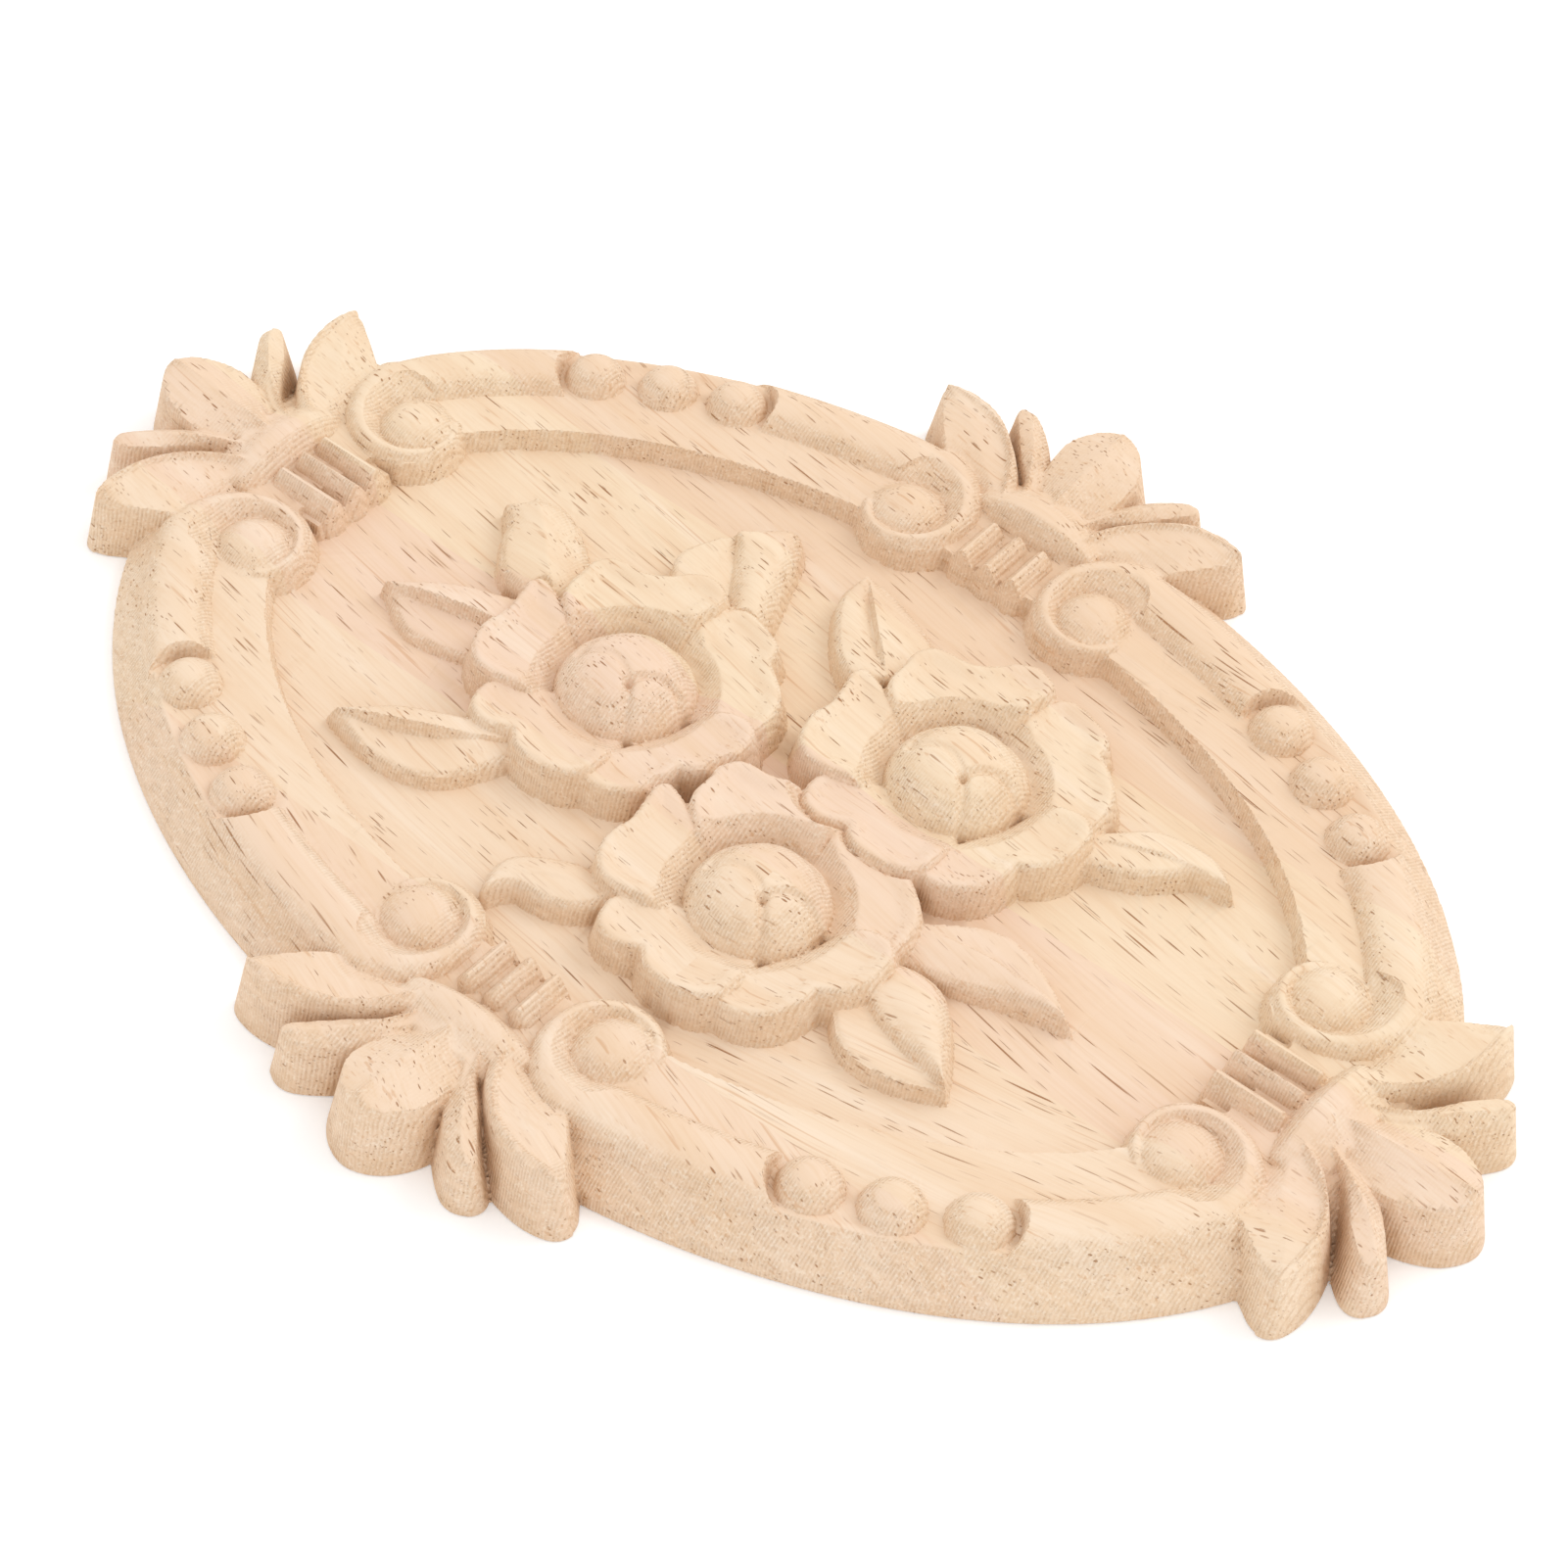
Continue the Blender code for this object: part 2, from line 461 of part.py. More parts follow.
def carved_blank():
    """A grid over the board, lifted to the carving and cut off at the level of the back."""
    columns = round(2 * BLANK_HALF[0] / CELL)
    rows = round(2 * BLANK_HALF[1] / CELL)
    bpy.ops.mesh.primitive_grid_add(x_subdivisions=columns, y_subdivisions=rows, size=1.0)
    blank = bpy.context.object
    mesh = blank.data
    points = np.empty(len(mesh.vertices) * 3, np.float32)
    mesh.vertices.foreach_get("co", points)
    points = points.reshape(-1, 3).astype(float)
    points[:, 0] *= 2 * BLANK_HALF[0] / np.ptp(points[:, 0])
    points[:, 1] *= 2 * BLANK_HALF[1] / np.ptp(points[:, 1])
    points[:, 2] = height(points[:, 0], points[:, 1])
    mesh.vertices.foreach_set("co", (points / 1000).astype(np.float32).ravel())
    shape = bmesh.new()
    shape.from_mesh(mesh)
    bmesh.ops.triangulate(shape, faces=shape.faces)
    everything = shape.verts[:] + shape.edges[:] + shape.faces[:]
    bmesh.ops.bisect_plane(
        shape, geom=everything, dist=1e-7, plane_co=(0, 0, 0), plane_no=(0, 0, 1), clear_inner=True
    )
    bmesh.ops.triangulate(shape, faces=shape.faces)
    shape.to_mesh(mesh)
    shape.free()
    return blank


def facet(blank):
    """Fewer, larger facets where the surface is flat, small ones where it turns."""
    decimate = blank.modifiers.new("Facets", "DECIMATE")
    decimate.decimate_type = "COLLAPSE"
    decimate.ratio = FACETS / len(blank.data.polygons)
    graph = bpy.context.evaluated_depsgraph_get()
    faceted = bpy.data.meshes.new_from_object(blank.evaluated_get(graph))
    blank.modifiers.clear()
    blank.data = faceted


def close_back(blank):
    """Level the cut edge and close the flat back across it."""
    shape = bmesh.new()
    shape.from_mesh(blank.data)
    rim_edges = [edge for edge in shape.edges if edge.is_boundary]
    for edge in rim_edges:
        for vertex in edge.verts:
            vertex.co.z = 0
    back = bmesh.ops.contextual_create(shape, geom=rim_edges)["faces"]
    bmesh.ops.triangulate(shape, faces=back)
    bmesh.ops.recalc_face_normals(shape, faces=shape.faces)
    shape.to_mesh(blank.data)
    shape.free()


def rubberwood():
    material = bpy.data.materials.new("rubberwood")
    material.use_nodes = True
    surface = material.node_tree.nodes["Principled BSDF"]
    surface.inputs["Base Color"].default_value = (0.78, 0.60, 0.42, 1)
    surface.inputs["Roughness"].default_value = 0.75
    return material


def main():
    clear_scene()
    applique = bpy.data.collections.new("Oval applique")
    bpy.context.scene.collection.children.link(applique)
    part = carved_blank()
    part.name = "oval_applique"
    part.data.name = "oval_applique"
    facet(part)
    close_back(part)
    part.data.materials.clear()
    part.data.materials.append(rubberwood())
    part.data.shade_smooth()
    for held in list(part.users_collection):
        held.objects.unlink(part)
    applique.objects.link(part)


main()
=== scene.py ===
"""Looks of the oval applique: one board of unfinished rubberwood, machine-carved, on a plain white table.

The board is a fine mesh, lifted to the CAD part's carving from the named features below, in millimetres, with
x along the board, y across it and z above the flat back. Its beads stand 0.5 mm taller than the CAD part's,
and the step in a leaf fades at its ends. The cutter's ridges, the pores, the grain and the tones of the glued
staves are in its material, and so is painted shade: browner cut slopes, darker cutter's valleys, and darker
creases and wall feet.
"""

import bmesh
import bpy
import numpy as np
from mathutils import Matrix, Vector


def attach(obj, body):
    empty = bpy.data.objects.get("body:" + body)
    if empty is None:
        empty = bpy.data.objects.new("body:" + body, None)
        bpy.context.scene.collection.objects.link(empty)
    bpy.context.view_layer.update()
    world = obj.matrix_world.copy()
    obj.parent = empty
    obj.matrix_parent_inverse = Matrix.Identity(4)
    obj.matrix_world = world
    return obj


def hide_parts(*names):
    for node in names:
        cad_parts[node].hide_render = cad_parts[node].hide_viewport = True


# Fine mesh: cell of the grid, its half size, and the triangles that are kept
CELL = 0.45
BLANK_HALF = (156.15, 112.05)
TRIANGLES = 192000
SHARP_ANGLE = 38.0

# Hollows: grid step, widest cut that is a crease (half, in steps), blurs in steps, and depths in millimetres
HOLLOW_STEP = 0.5
CREASE_REACH = 5
CREASE_BLUR = 0.8
CREASE_LIMIT = 6.0
HOLLOW_BLUR = 5.0
HOLLOW_LIMIT = 5.0
FULL_DEPTH = 3.0

# The photograph's camera: lens on a 36 mm sensor, and its place and turn in metres and degrees
LENS = 91.90
TARGET = (0.005785, -0.003384, 0.010)
DISTANCE = 0.69674
AZIMUTH = 35.655
ELEVATION = 47.772
ROLL = 4.802

# Studio: the key light's place and size in metres and its watts, and the even light from sky and table
KEY_PLACE = (0.55, 0.95, 1.15)
KEY_SIZE = 0.9
KEY_POWER = 5.0
SKY_STRENGTH = 1.04
TABLE_SIZE = 12.0
TABLE_GAP = 0.0002
TABLE_GLOW = 0.12

# Relief in the material, in millimetres: spacing of the cutter's ridges, and what each mark adds or takes
CUTTER_PITCH = 0.62
RIDGE_LIFT = 0.06
FUZZ_LIFT = 0.10
PORE_DEPTH = 0.10
FIBRE_LIFT = 0.02

# Grain: its turn in the board, in the front stave and beyond the finger joint of the next one, and its drift
GRAIN_ANGLE = -9.0
LOWEST_TURN = 9.0
JOINED_TURN = -19.0
FINGER_JOINT = 20.0
GRAIN_DRIFT = 6.0

# Glued staves, from the front of the board to the back: where each begins across it, and its tone
STAVES = (
    (-120.0, (0.820, 0.620, 0.465)),
    (-62.0, (0.840, 0.660, 0.490)),
    (-24.0, (0.822, 0.612, 0.466)),
    (4.0, (0.844, 0.670, 0.480)),
    (42.0, (0.804, 0.600, 0.434)),
)

# Colours of the wood, and of the shade painted on its slopes, in its creases and at the foot of its walls
PALE_BLOTCH = (0.855, 0.675, 0.505, 1)
BROWN_BAND = (0.785, 0.560, 0.370, 1)
PALE_BAND = (0.880, 0.735, 0.590, 1)
FIBRE = (0.720, 0.480, 0.280, 1)
BROWN_LINE = (0.600, 0.320, 0.150, 1)
PORE = (0.330, 0.115, 0.025, 1)
# Painted shade: browner cut slopes and darker cutter's valleys
SLOPE_SHADE = (0.640, 0.400, 0.200, 1)
VALLEY_SHADE = (0.520, 0.310, 0.150, 1)
TORN_FUZZ = (0.930, 0.800, 0.650, 1)
# Painted shade: brown at the foot of the walls and dark in the creases
WALL_FOOT_SHADE = (0.560, 0.345, 0.180, 1)
CREASE_SHADE_COLOUR = (0.450, 0.245, 0.110, 1)

# Board and rim, as insets from the base ellipse and heights above the back
HALF_LENGTH = 133.9
HALF_WIDTH = 91.9
EDGE_HEIGHT = 2.5
SHOULDER_INSET = 6.9
SHOULDER_HEIGHT = 8.9
BAND_HEIGHT = 8.3
STEP_INSET = 28.2
STEP_RUN = 1.1
GROUND_HEIGHT = 4.0
BELOW = -3.0

# Rolled rim between the beads and the scrolls: half-width and crest height from the beads to the coil's end
ROLL_INSET = 12.0
ROLL_WIDTHS = (6.3, 6.3, 5.6, 3.8, 2.6, 1.9, 1.3)
ROLL_CRESTS = (11.8, 11.8, 11.8, 11.3, 10.7, 10.0, 9.2)
ROLL_FOOT = 7.4
BEADS = ((87.9, 54.5), (75.6, 61.4), (63.1, 66.9))
BEAD_RADIUS = 5.9
BEAD_FOOT = 7.4
BEAD_HEIGHT = 12.8
BEAD_GAP = 7.3

# Scrolls: eye centres in one quarter, and the radius of the coil's crest round the eye by angle
EYE_MAJOR = (104.4, 21.6)
EYE_MINOR = (21.4, 67.0)
EYE_RADIUS = 6.9
EYE_HEIGHT = 11.5
COIL_ANGLE = (0, 40, 80, 120, 160, 200, 250)
COIL_RADIUS = (12.2, 10.6, 9.5, 8.9, 8.4, 8.0, 7.6)
COIL_TURN = 250
# Channel between the coil's crest and the eye, by angle: its outer radius, the height there and at the eye
CHANNEL_ANGLE = (0, 60, 120, 180, 250, 290, 325, 345, 360)
CHANNEL_RADIUS = (12.2, 10.05, 8.9, 8.2, 7.6, 7.9, 9.6, 11.6, 12.2)
CHANNEL_HEIGHT = (11.8, 11.2, 10.7, 10.1, 9.2, 8.9, 10.2, 11.5, 11.8)
EYE_FOOT = (8.3, 8.3, 8.4, 8.7, 9.1, 8.8, 8.5, 8.3, 8.3)
# Flank outside the coil, by angle: where its slope steepens and its height at the coil
FLANK_ANGLE = (0, 50, 90, 150, 220, 290, 360)
FLANK_REACH = (9.0, 11.0, 11.8, 10.8, 9.0, 7.8, 8.0)
FLANK_TOP = (8.3, 9.2, 9.4, 9.1, 8.6, 8.2, 8.2)

# Fluted ribs and the arch beyond them: (inner end, outer end, arch) from the centre of the board
RIBS_MAJOR = (99.2, 112.5, 117.6)
RIBS_MINOR = (62.4, 72.5, 78.8)
RIB_PITCH = 5.6
RIB_HEIGHT = 11.4
RIB_DEPTH = 4.2
RIB_VALLEY = 7.2
ARCH_HEIGHT = 13.3
ARCH_SAG = 3.6
ARCH_REACH = 13.0

# Palmette leaves as (outwards, sideways): outline, midrib as root, control and tip, drop from the midrib to
# the edge on the far side and on the side towards the middle, and heights of the midrib from root to tip
PALM_MAJOR = (
    (
        ((115.5, 6), (119, 6.5), (123, 9.5), (127.5, 14.5), (130.8, 19.5), (132.4, 25), (132.9, 30),
         (132, 34), (130.2, 34.4), (127, 32.4), (122.5, 29.4), (117, 25), (114, 18)),
        ((117, 8), (133.6, 14.6), (131.4, 32.6)), (4.6, 1.2), (11.6, 12.6, 13.6, 13.3),
    ),
    (
        ((117, 2.5), (124, 3.4), (130.6, 5.8), (135.6, 10.5), (139.4, 15.2), (141.6, 18.8), (141, 21),
         (139, 21.6), (134.4, 17.7), (130, 12), (125, 7.4), (118, 6)),
        ((118, 4), (132, 8.6), (140, 19.6)), (1.8, 3.0), (11.2, 11.6, 11.9, 12.0),
    ),
    (
        ((116, 4), (122.5, 5.3), (128, 7.2), (133, 8.2), (137.5, 8.0), (141.8, 6.4), (145.2, 3.8), (147, 0),
         (145.2, -3.8), (141.8, -6.4), (137.5, -8.0), (133, -8.2), (128, -7.2), (122.5, -5.3), (116, -4)),
        ((117, 0), (132, 0), (145.6, 0)), (3.8, 3.8), (11.8, 12.9, 14.2, 14.5),
    ),
)
PALM_MINOR = (
    (
        ((77.5, 8), (80.5, 7.8), (86.2, 10.8), (91, 15.6), (94.6, 20.8), (96, 25.5), (96.3, 30),
         (95.4, 33.8), (93.5, 34.2), (90.4, 31.8), (86.3, 28.4), (82.3, 24.4), (78, 17)),
        ((79, 9), (96.4, 15.1), (94.8, 32.4)), (4.2, 1.2), (11.6, 12.6, 14.0, 13.8),
    ),
    (
        ((77, 3), (85, 3.8), (90.6, 6.4), (96.4, 10.7), (99.7, 14.3), (101.8, 17.7), (101.6, 20),
         (100, 20.9), (96.8, 18.4), (91, 13.4), (85.5, 8.4), (78, 6.5)),
        ((78, 5), (92.2, 9.2), (100.4, 18.8)), (1.8, 3.0), (11.2, 11.6, 11.9, 12.0),
    ),
    (
        ((76, 4), (83, 5.3), (89, 7.3), (94, 8.2), (98.4, 8.0), (102, 6.2), (104.8, 3.4), (106, 0),
         (104.8, -3.4), (102, -6.2), (98.4, -8.0), (94, -8.2), (89, -7.3), (83, -5.3), (76, -4)),
        ((78, 0), (92, 0), (104.6, 0)), (3.8, 3.8), (11.8, 12.9, 14.8, 15.4),
    ),
)
PALM_WALL = 5.0
# Web that joins the roots of the leaves: its reach from a root behind the arch, and its height there
WEB_ROOT = 6.0
WEB_REACH = 21.5
WEB_HEIGHT = 10.6

# Flowers: centres, heart and petals as (outline, angles of its two ends, heights there, height at the heart)
FLOWERS = ((-30.3, -3.6), (19.0, -26.4), (27.4, 18.2))
DOME_RADIUS = 13.0
DOME_FOOT = 7.4
DOME_HEIGHT = 15.8
DOME_CUTS = (
    (((-2.5, 12.0), (5.5, 11.5), (12.4, 4.0)), 0.6),
    (((3.0, -3.0), (6.0, -6.5), (8.4, -10.5)), 1.0),
    (((3.0, -3.0), (5.5, 4.4), (12.8, 1.2)), 1.0),
    (((3.0, -3.0), (-3.2, 2.6), (-9.2, -2.0)), 0.6),
    (((-9.2, -2.0), (-11.0, 4.0), (-7.4, 8.4)), 0.5),
)
PETALS = (
    (
        ((-6, 6), (-13, 2.2), (-20, 6), (-22.5, 9.5), (-22.8, 14.3), (-23.1, 17.1), (-21.4, 20.2),
         (-18.6, 21.2), (-14, 21.6), (-10.1, 23.9), (-7.6, 26.9), (-4.5, 28.6), (-1.2, 28.2), (1.2, 26.6),
         (1.6, 24), (0.9, 21.1), (0.3, 17), (0.2, 11)),
        (94, 160), (13.2, 12.6), 7.6,
    ),
    (
        ((0, 6), (0.2, 11), (0.5, 17), (0.9, 22), (2.3, 26.4), (5, 28), (8.4, 27.6), (12.5, 26.2),
         (15.2, 24.4), (16.2, 20.8), (16.2, 20.8), (19.8, 18.4), (23.2, 15.2), (24.8, 11.5), (25.2, 7.2),
         (24.4, 3.6), (20, 4), (13, 2), (6, 2)),
        (16, 84), (11.0, 11.0), 7.6,
    ),
    (
        ((9.5, -9), (12.5, -3), (14.3, 1.8), (17.5, 4.6), (20.8, 6.1), (24, 6), (26.3, 3.8), (26.8, 0.8),
         (26.2, -3.9), (24, -7.8), (20.7, -10.1), (20.7, -10.1), (20.3, -13.5), (18.6, -18.2), (15.6, -21),
         (12.2, -22.4), (8.6, -21.6), (8, -15)),
        (-68, 12), (10.6, 12.4), 8.6,
    ),
    (
        ((-6, 1), (-13, 2.4), (-20, 6.4), (-25, 8.6), (-27.8, 9.2), (-29.2, 7.2), (-28.5, 4.2),
         (-27.3, -1.5), (-27.9, -5.5), (-27.4, -9), (-25.8, -12.3), (-22.7, -14.8), (-18.7, -15.4),
         (-13.7, -14.2), (-9, -12), (-5, -6)),
        (160, 218), (11.2, 12.3), 7.8,
    ),
    (
        ((-9, -9), (-14, -12), (-18.4, -16), (-17.6, -21.4), (-14.9, -23.6), (-11.2, -24), (-7.2, -22.2),
         (-7.2, -22.2), (-5.2, -24.4), (-2.2, -25.5), (2.5, -25.6), (7.2, -24.1), (9.6, -20.4), (9.2, -14),
         (7, -9), (0, -8)),
        (221, 292), (10.6, 12.0), 8.8,
    ),
)
PETAL_DISH = 0.9

# Leaves of the bouquet: outline round from the root, midrib from root to tip, and on the left and the right
# of the midrib the height at the edge, at the midrib and of the bulge between them
SPRAY = (
    (
        ((-52, -8), (-55, 1), (-63.3, -0.6), (-72.3, -4.8), (-80.8, -12.3), (-80.8, -12.3), (-72, -17.2),
         (-63.8, -16.8), (-56, -14)),
        ((-55, -6), (-69, -10), (-79.5, -12.4)),
        (5.8, 7.2, 0.2),
        (8.2, 10.2, 0.2),
    ),
    (
        ((-36, -24), (-44, -26), (-50.2, -28.9), (-57.9, -33.2), (-64, -39.6), (-66.5, -41.6),
         (-66.5, -41.6), (-56, -43.9), (-47.8, -43.4), (-41, -39.7), (-36, -30.5)),
        ((-42, -30), (-54, -38.7), (-65, -41)),
        (7.3, 7.4, 0.0),
        (8.4, 10.4, 0.2),
    ),
    (
        ((-52, 10), (-56, 16), (-63.2, 21.9), (-68.5, 24.2), (-72, 23.3), (-72, 23.3), (-75.3, 20.0),
         (-78, 17.8), (-78, 17.8), (-74.0, 13.6), (-72.4, 10.6), (-67.6, 4.7), (-61.5, 2.4), (-54, 3)),
        ((-58, 7), (-64.6, 13.9), (-73, 21.0)),
        (8.4, 10.8, 0.3),
        (7.8, 10.8, 0.3),
    ),
    (
        ((-36, 18), (-45.3, 27.8), (-43.3, 36.6), (-40.9, 39.5), (-37.5, 44.5), (-33.3, 48.2),
         (-29.6, 45.4), (-26.8, 38.4), (-22.4, 27.0), (-22, 18)),
        ((-30, 24), (-34.5, 31), (-40.5, 39.5)),
        (8.6, 7.4, 0.6),
        (8.2, 7.8, 2.4),
    ),
    (
        ((0, 26), (-6.5, 27.5), (-13.2, 34.7), (-16.6, 41.0), (-16.2, 48.2), (-16.2, 48.2), (-11, 48.4),
         (-5, 46.5), (3, 43), (9, 36)),
        ((2, 30), (-7.5, 38.5), (-15.4, 47.2)),
        (8.6, 8.0, 0.9),
        (7.6, 10.4, 0.3),
    ),
    (
        ((46, 20), (53.5, 27.2), (60.6, 33.8), (71.3, 35.0), (77.5, 31.0), (77.5, 31.0), (70.6, 29.6),
         (67.4, 25.8), (62.4, 21.8), (55, 18.6), (48, 15)),
        ((50, 21), (62, 29.5), (77, 31.0)),
        (8.0, 9.6, 0.3),
        (8.6, 8.8, 0.2),
    ),
    (
        ((40, -15), (43.5, -10.1), (53.5, -3.8), (63.2, -5.2), (73.9, -11.4), (73.9, -11.4), (63.2, -14.0),
         (53.6, -17.4), (44, -19)),
        ((42, -12.5), (57, -7.2), (73.0, -10.9)),
        (8.6, 8.0, 0.0),
        (6.8, 9.0, 0.4),
    ),
    (
        ((38, -28), (44.7, -20.6), (54.2, -20.4), (61.9, -28.2), (67, -36.4), (67, -36.4), (58.3, -40.4),
         (49.3, -40.6), (43, -36)),
        ((43, -29), (50, -33.5), (65.0, -36.0)),
        (8.2, 8.4, 2.0),
        (7.8, 7.2, 0.0),
    ),
    (
        ((0, -40), (-9.3, -38.8), (-19.4, -44.9), (-20.4, -51.0), (-18.0, -55.6), (-18.0, -55.6),
         (-14.8, -50.8), (-8.4, -49.8), (-2.5, -46.5)),
        ((-4, -43), (-15.5, -45), (-18.2, -54.0)),
        (8.2, 8.8, 0.3),
        (7.4, 9.2, 0.2),
    ),
)
LEAF_WALL = 4.6


def smoothstep(value, start, end):
    t = np.clip((value - start) / (end - start), 0, 1)
    return t * t * (3 - 2 * t)


def round_max(a, b, blend):
    """The higher of two surfaces, with the corner between them rounded."""
    share = np.clip(0.5 + 0.5 * (a - b) / blend, 0, 1)
    return b + (a - b) * share + 0.5 * blend * share * (1 - share)


def ellipse_inset(x, y):
    """Inset d of the ellipse through each point, measured inwards from the base ellipse."""
    d = np.full(np.shape(x), 10.0)
    for _ in range(12):
        a = HALF_LENGTH - d
        b = HALF_WIDTH - d
        value = (x / a) ** 2 + (y / b) ** 2 - 1
        slope = 2 * x**2 / a**3 + 2 * y**2 / b**3
        d = np.clip(d - value / np.maximum(slope, 1e-9), -60, 60)
    return d


def along(x, y, path):
    """Nearest point of a path: its share of the length, the signed side distance and the distance."""
    starts, ends = path[:-1], path[1:]
    steps = ends - starts
    lengths = np.hypot(*steps.T)
    so_far = np.concatenate([[0], np.cumsum(lengths)])
    best = np.full(np.shape(x), np.inf)
    share = np.zeros(np.shape(x))
    side = np.zeros(np.shape(x))
    for (sx, sy), (dx, dy), length, before in zip(starts, steps, lengths, so_far):
        t = np.clip(((x - sx) * dx + (y - sy) * dy) / length**2, 0, 1)
        px, py = x - sx - t * dx, y - sy - t * dy
        distance = np.hypot(px, py)
        closer = distance < best
        best = np.where(closer, distance, best)
        share = np.where(closer, (before + t * length) / so_far[-1], share)
        side = np.where(closer, np.sign(dx * py - dy * px), side)
    return share, side * best, best


def curve(start, control, end, count=14):
    t = np.linspace(0, 1, count)[:, None]
    start, control, end = map(np.array, (start, control, end))
    return (1 - t) ** 2 * start + 2 * t * (1 - t) * control + t**2 * end


def cap(r, radius, foot, top):
    """Rounded button of a given radius: its height at distance r, far below outside it."""
    return foot + (top - foot) * np.sqrt(np.clip(1 - (r / radius) ** 2, 0, 1)) - 30 * (r >= radius)


def rim(inset):
    """Section of the board from its edge to the ground: slope, band and step."""
    slope = EDGE_HEIGHT + (SHOULDER_HEIGHT - EDGE_HEIGHT) * np.clip(inset / SHOULDER_INSET, 0, 1) ** 0.95
    down = (SHOULDER_HEIGHT - BAND_HEIGHT) * smoothstep(inset, SHOULDER_INSET, SHOULDER_INSET + 3)
    step = (BAND_HEIGHT - GROUND_HEIGHT) * np.clip((inset - STEP_INSET) / STEP_RUN, 0, 1)
    return slope - down - step + np.minimum(inset, 0) * 12


def ellipse_angle(point, inset):
    return np.arctan2(point[1] / (HALF_WIDTH - inset), point[0] / (HALF_LENGTH - inset))


def scroll_path(eye, turn, bead):
    """Crest line of a rim roll, from the bead at its end along the rim and round the eye."""
    out = np.arctan2(eye[1] / (HALF_WIDTH - 24.4) ** 2, eye[0] / (HALF_LENGTH - 24.4) ** 2)
    phi = np.radians(np.linspace(0, COIL_TURN, 30))
    radius = np.interp(np.degrees(phi), COIL_ANGLE, COIL_RADIUS)
    angle = out + turn * phi
    coil = np.stack([eye[0] + radius * np.cos(angle), eye[1] + radius * np.sin(angle)], -1)
    sweep = np.linspace(ellipse_angle(bead, ROLL_INSET), ellipse_angle(coil[0], ROLL_INSET), 26)[:-1]
    arc = [(HALF_LENGTH - ROLL_INSET) * np.cos(sweep), (HALF_WIDTH - ROLL_INSET) * np.sin(sweep)]
    return out, np.concatenate([np.stack(arc, -1), coil])


def scroll(x, y, base, eye, turn, bead):
    """One rim roll with the coil at its end, laid over the surface that is there."""
    out, path = scroll_path(eye, turn, bead)
    lengths = np.concatenate([[0], np.cumsum(np.hypot(*np.diff(path, axis=0).T))])
    at_coil = lengths[25] / lengths[-1]
    rest = 1 - at_coil
    knots = (0, at_coil - 0.1, at_coil, at_coil + 0.22 * rest, at_coil + 0.45 * rest, at_coil + 0.7 * rest, 1)
    share, _, distance = along(x, y, path)
    half = np.interp(share, knots, ROLL_WIDTHS)
    crest = np.interp(share, knots, ROLL_CRESTS)
    r = np.hypot(x - eye[0], y - eye[1])
    phi = np.degrees(np.mod(turn * (np.arctan2(y - eye[1], x - eye[0]) - out), 2 * np.pi))
    flank = np.interp(phi, FLANK_ANGLE, FLANK_TOP) + 2.2 - 0.25 * r
    z = np.maximum(base, flank - 3.2 * np.maximum(r - np.interp(phi, FLANK_ANGLE, FLANK_REACH), 0))
    roll = ROLL_FOOT + (crest - ROLL_FOOT) * np.sqrt(np.clip(1 - (distance / half) ** 2, 0, 1))
    gap = np.hypot(x - bead[0], y - bead[1])
    roll = roll - 30 * (distance >= half) - 4 * np.maximum(BEAD_GAP + 0.4 - gap, 0)
    z = np.where(r < 14, round_max(roll, z, 0.7), round_max(roll, z, 1.2))
    channel_radius = np.interp(phi, CHANNEL_ANGLE, CHANNEL_RADIUS)
    rise = np.clip((r - EYE_RADIUS) / (channel_radius - EYE_RADIUS), 0, 1)
    foot = np.interp(phi, CHANNEL_ANGLE, EYE_FOOT)
    channel = foot + (np.interp(phi, CHANNEL_ANGLE, CHANNEL_HEIGHT) - foot) * rise**0.9
    z = np.where(r < channel_radius, np.minimum(z, channel), z)
    eye_top = foot + (EYE_HEIGHT - foot) * np.clip(1 - (r / EYE_RADIUS) ** 2, 0, 1) ** 0.95
    return np.where(r < EYE_RADIUS, eye_top, z)


def fluting(out, across, size):
    """Three ribs between two scrolls and the arch beyond them."""
    inner, outer, arch_at = size
    z = RIB_VALLEY - 5 * np.maximum(inner + 0.6 - out, 0) - 5 * np.maximum(np.abs(across) - 9.5, 0)
    z = z - 0.8 * smoothstep(out, outer - 2, outer + 1) - 5 * np.maximum(out - arch_at, 0)
    for k in (-1, 0, 1):
        side = np.abs(across - k * RIB_PITCH) / (RIB_PITCH * 0.52)
        rib = RIB_HEIGHT - RIB_DEPTH * np.clip(side, 0, 1) ** 1.4 - 30 * (side >= 1)
        rib = rib - 5 * np.maximum(inner - out, 0) - 1.5 * np.maximum(out - outer, 0) ** 1.5
        z = np.maximum(z, rib)
    beyond = out - arch_at
    crest = ARCH_HEIGHT - ARCH_SAG * (across / ARCH_REACH) ** 2
    crest = crest - 3 * np.maximum(np.abs(across) - ARCH_REACH, 0)
    fall_to_ribs = 5.2 * smoothstep(-beyond, 0.6, 5.8) + 3 * np.maximum(-beyond - 5.8, 0)
    fall_to_leaves = 2.2 * smoothstep(beyond, 0.6, 7) + 3 * np.maximum(beyond - 7, 0)
    return round_max(z, crest - np.where(beyond < 0, fall_to_ribs, fall_to_leaves), 0.8)


def loop_through(points, steps=6):
    """Closed smooth curve through points; a point given twice makes a corner."""
    knots = np.array(points, float)
    before, after, second = np.roll(knots, 1, axis=0), np.roll(knots, -1, axis=0), np.roll(knots, -2, axis=0)
    t = np.linspace(0, 1, steps, endpoint=False)[:, None, None]
    bent = 2 * knots + (after - before) * t + (2 * before - 5 * knots + 4 * after - second) * t**2
    bent = bent + (3 * knots - before - 3 * after + second) * t**3
    sections = np.hypot(*(after - knots).T) > 0
    return (bent / 2).transpose(1, 0, 2)[sections].reshape(-1, 2)


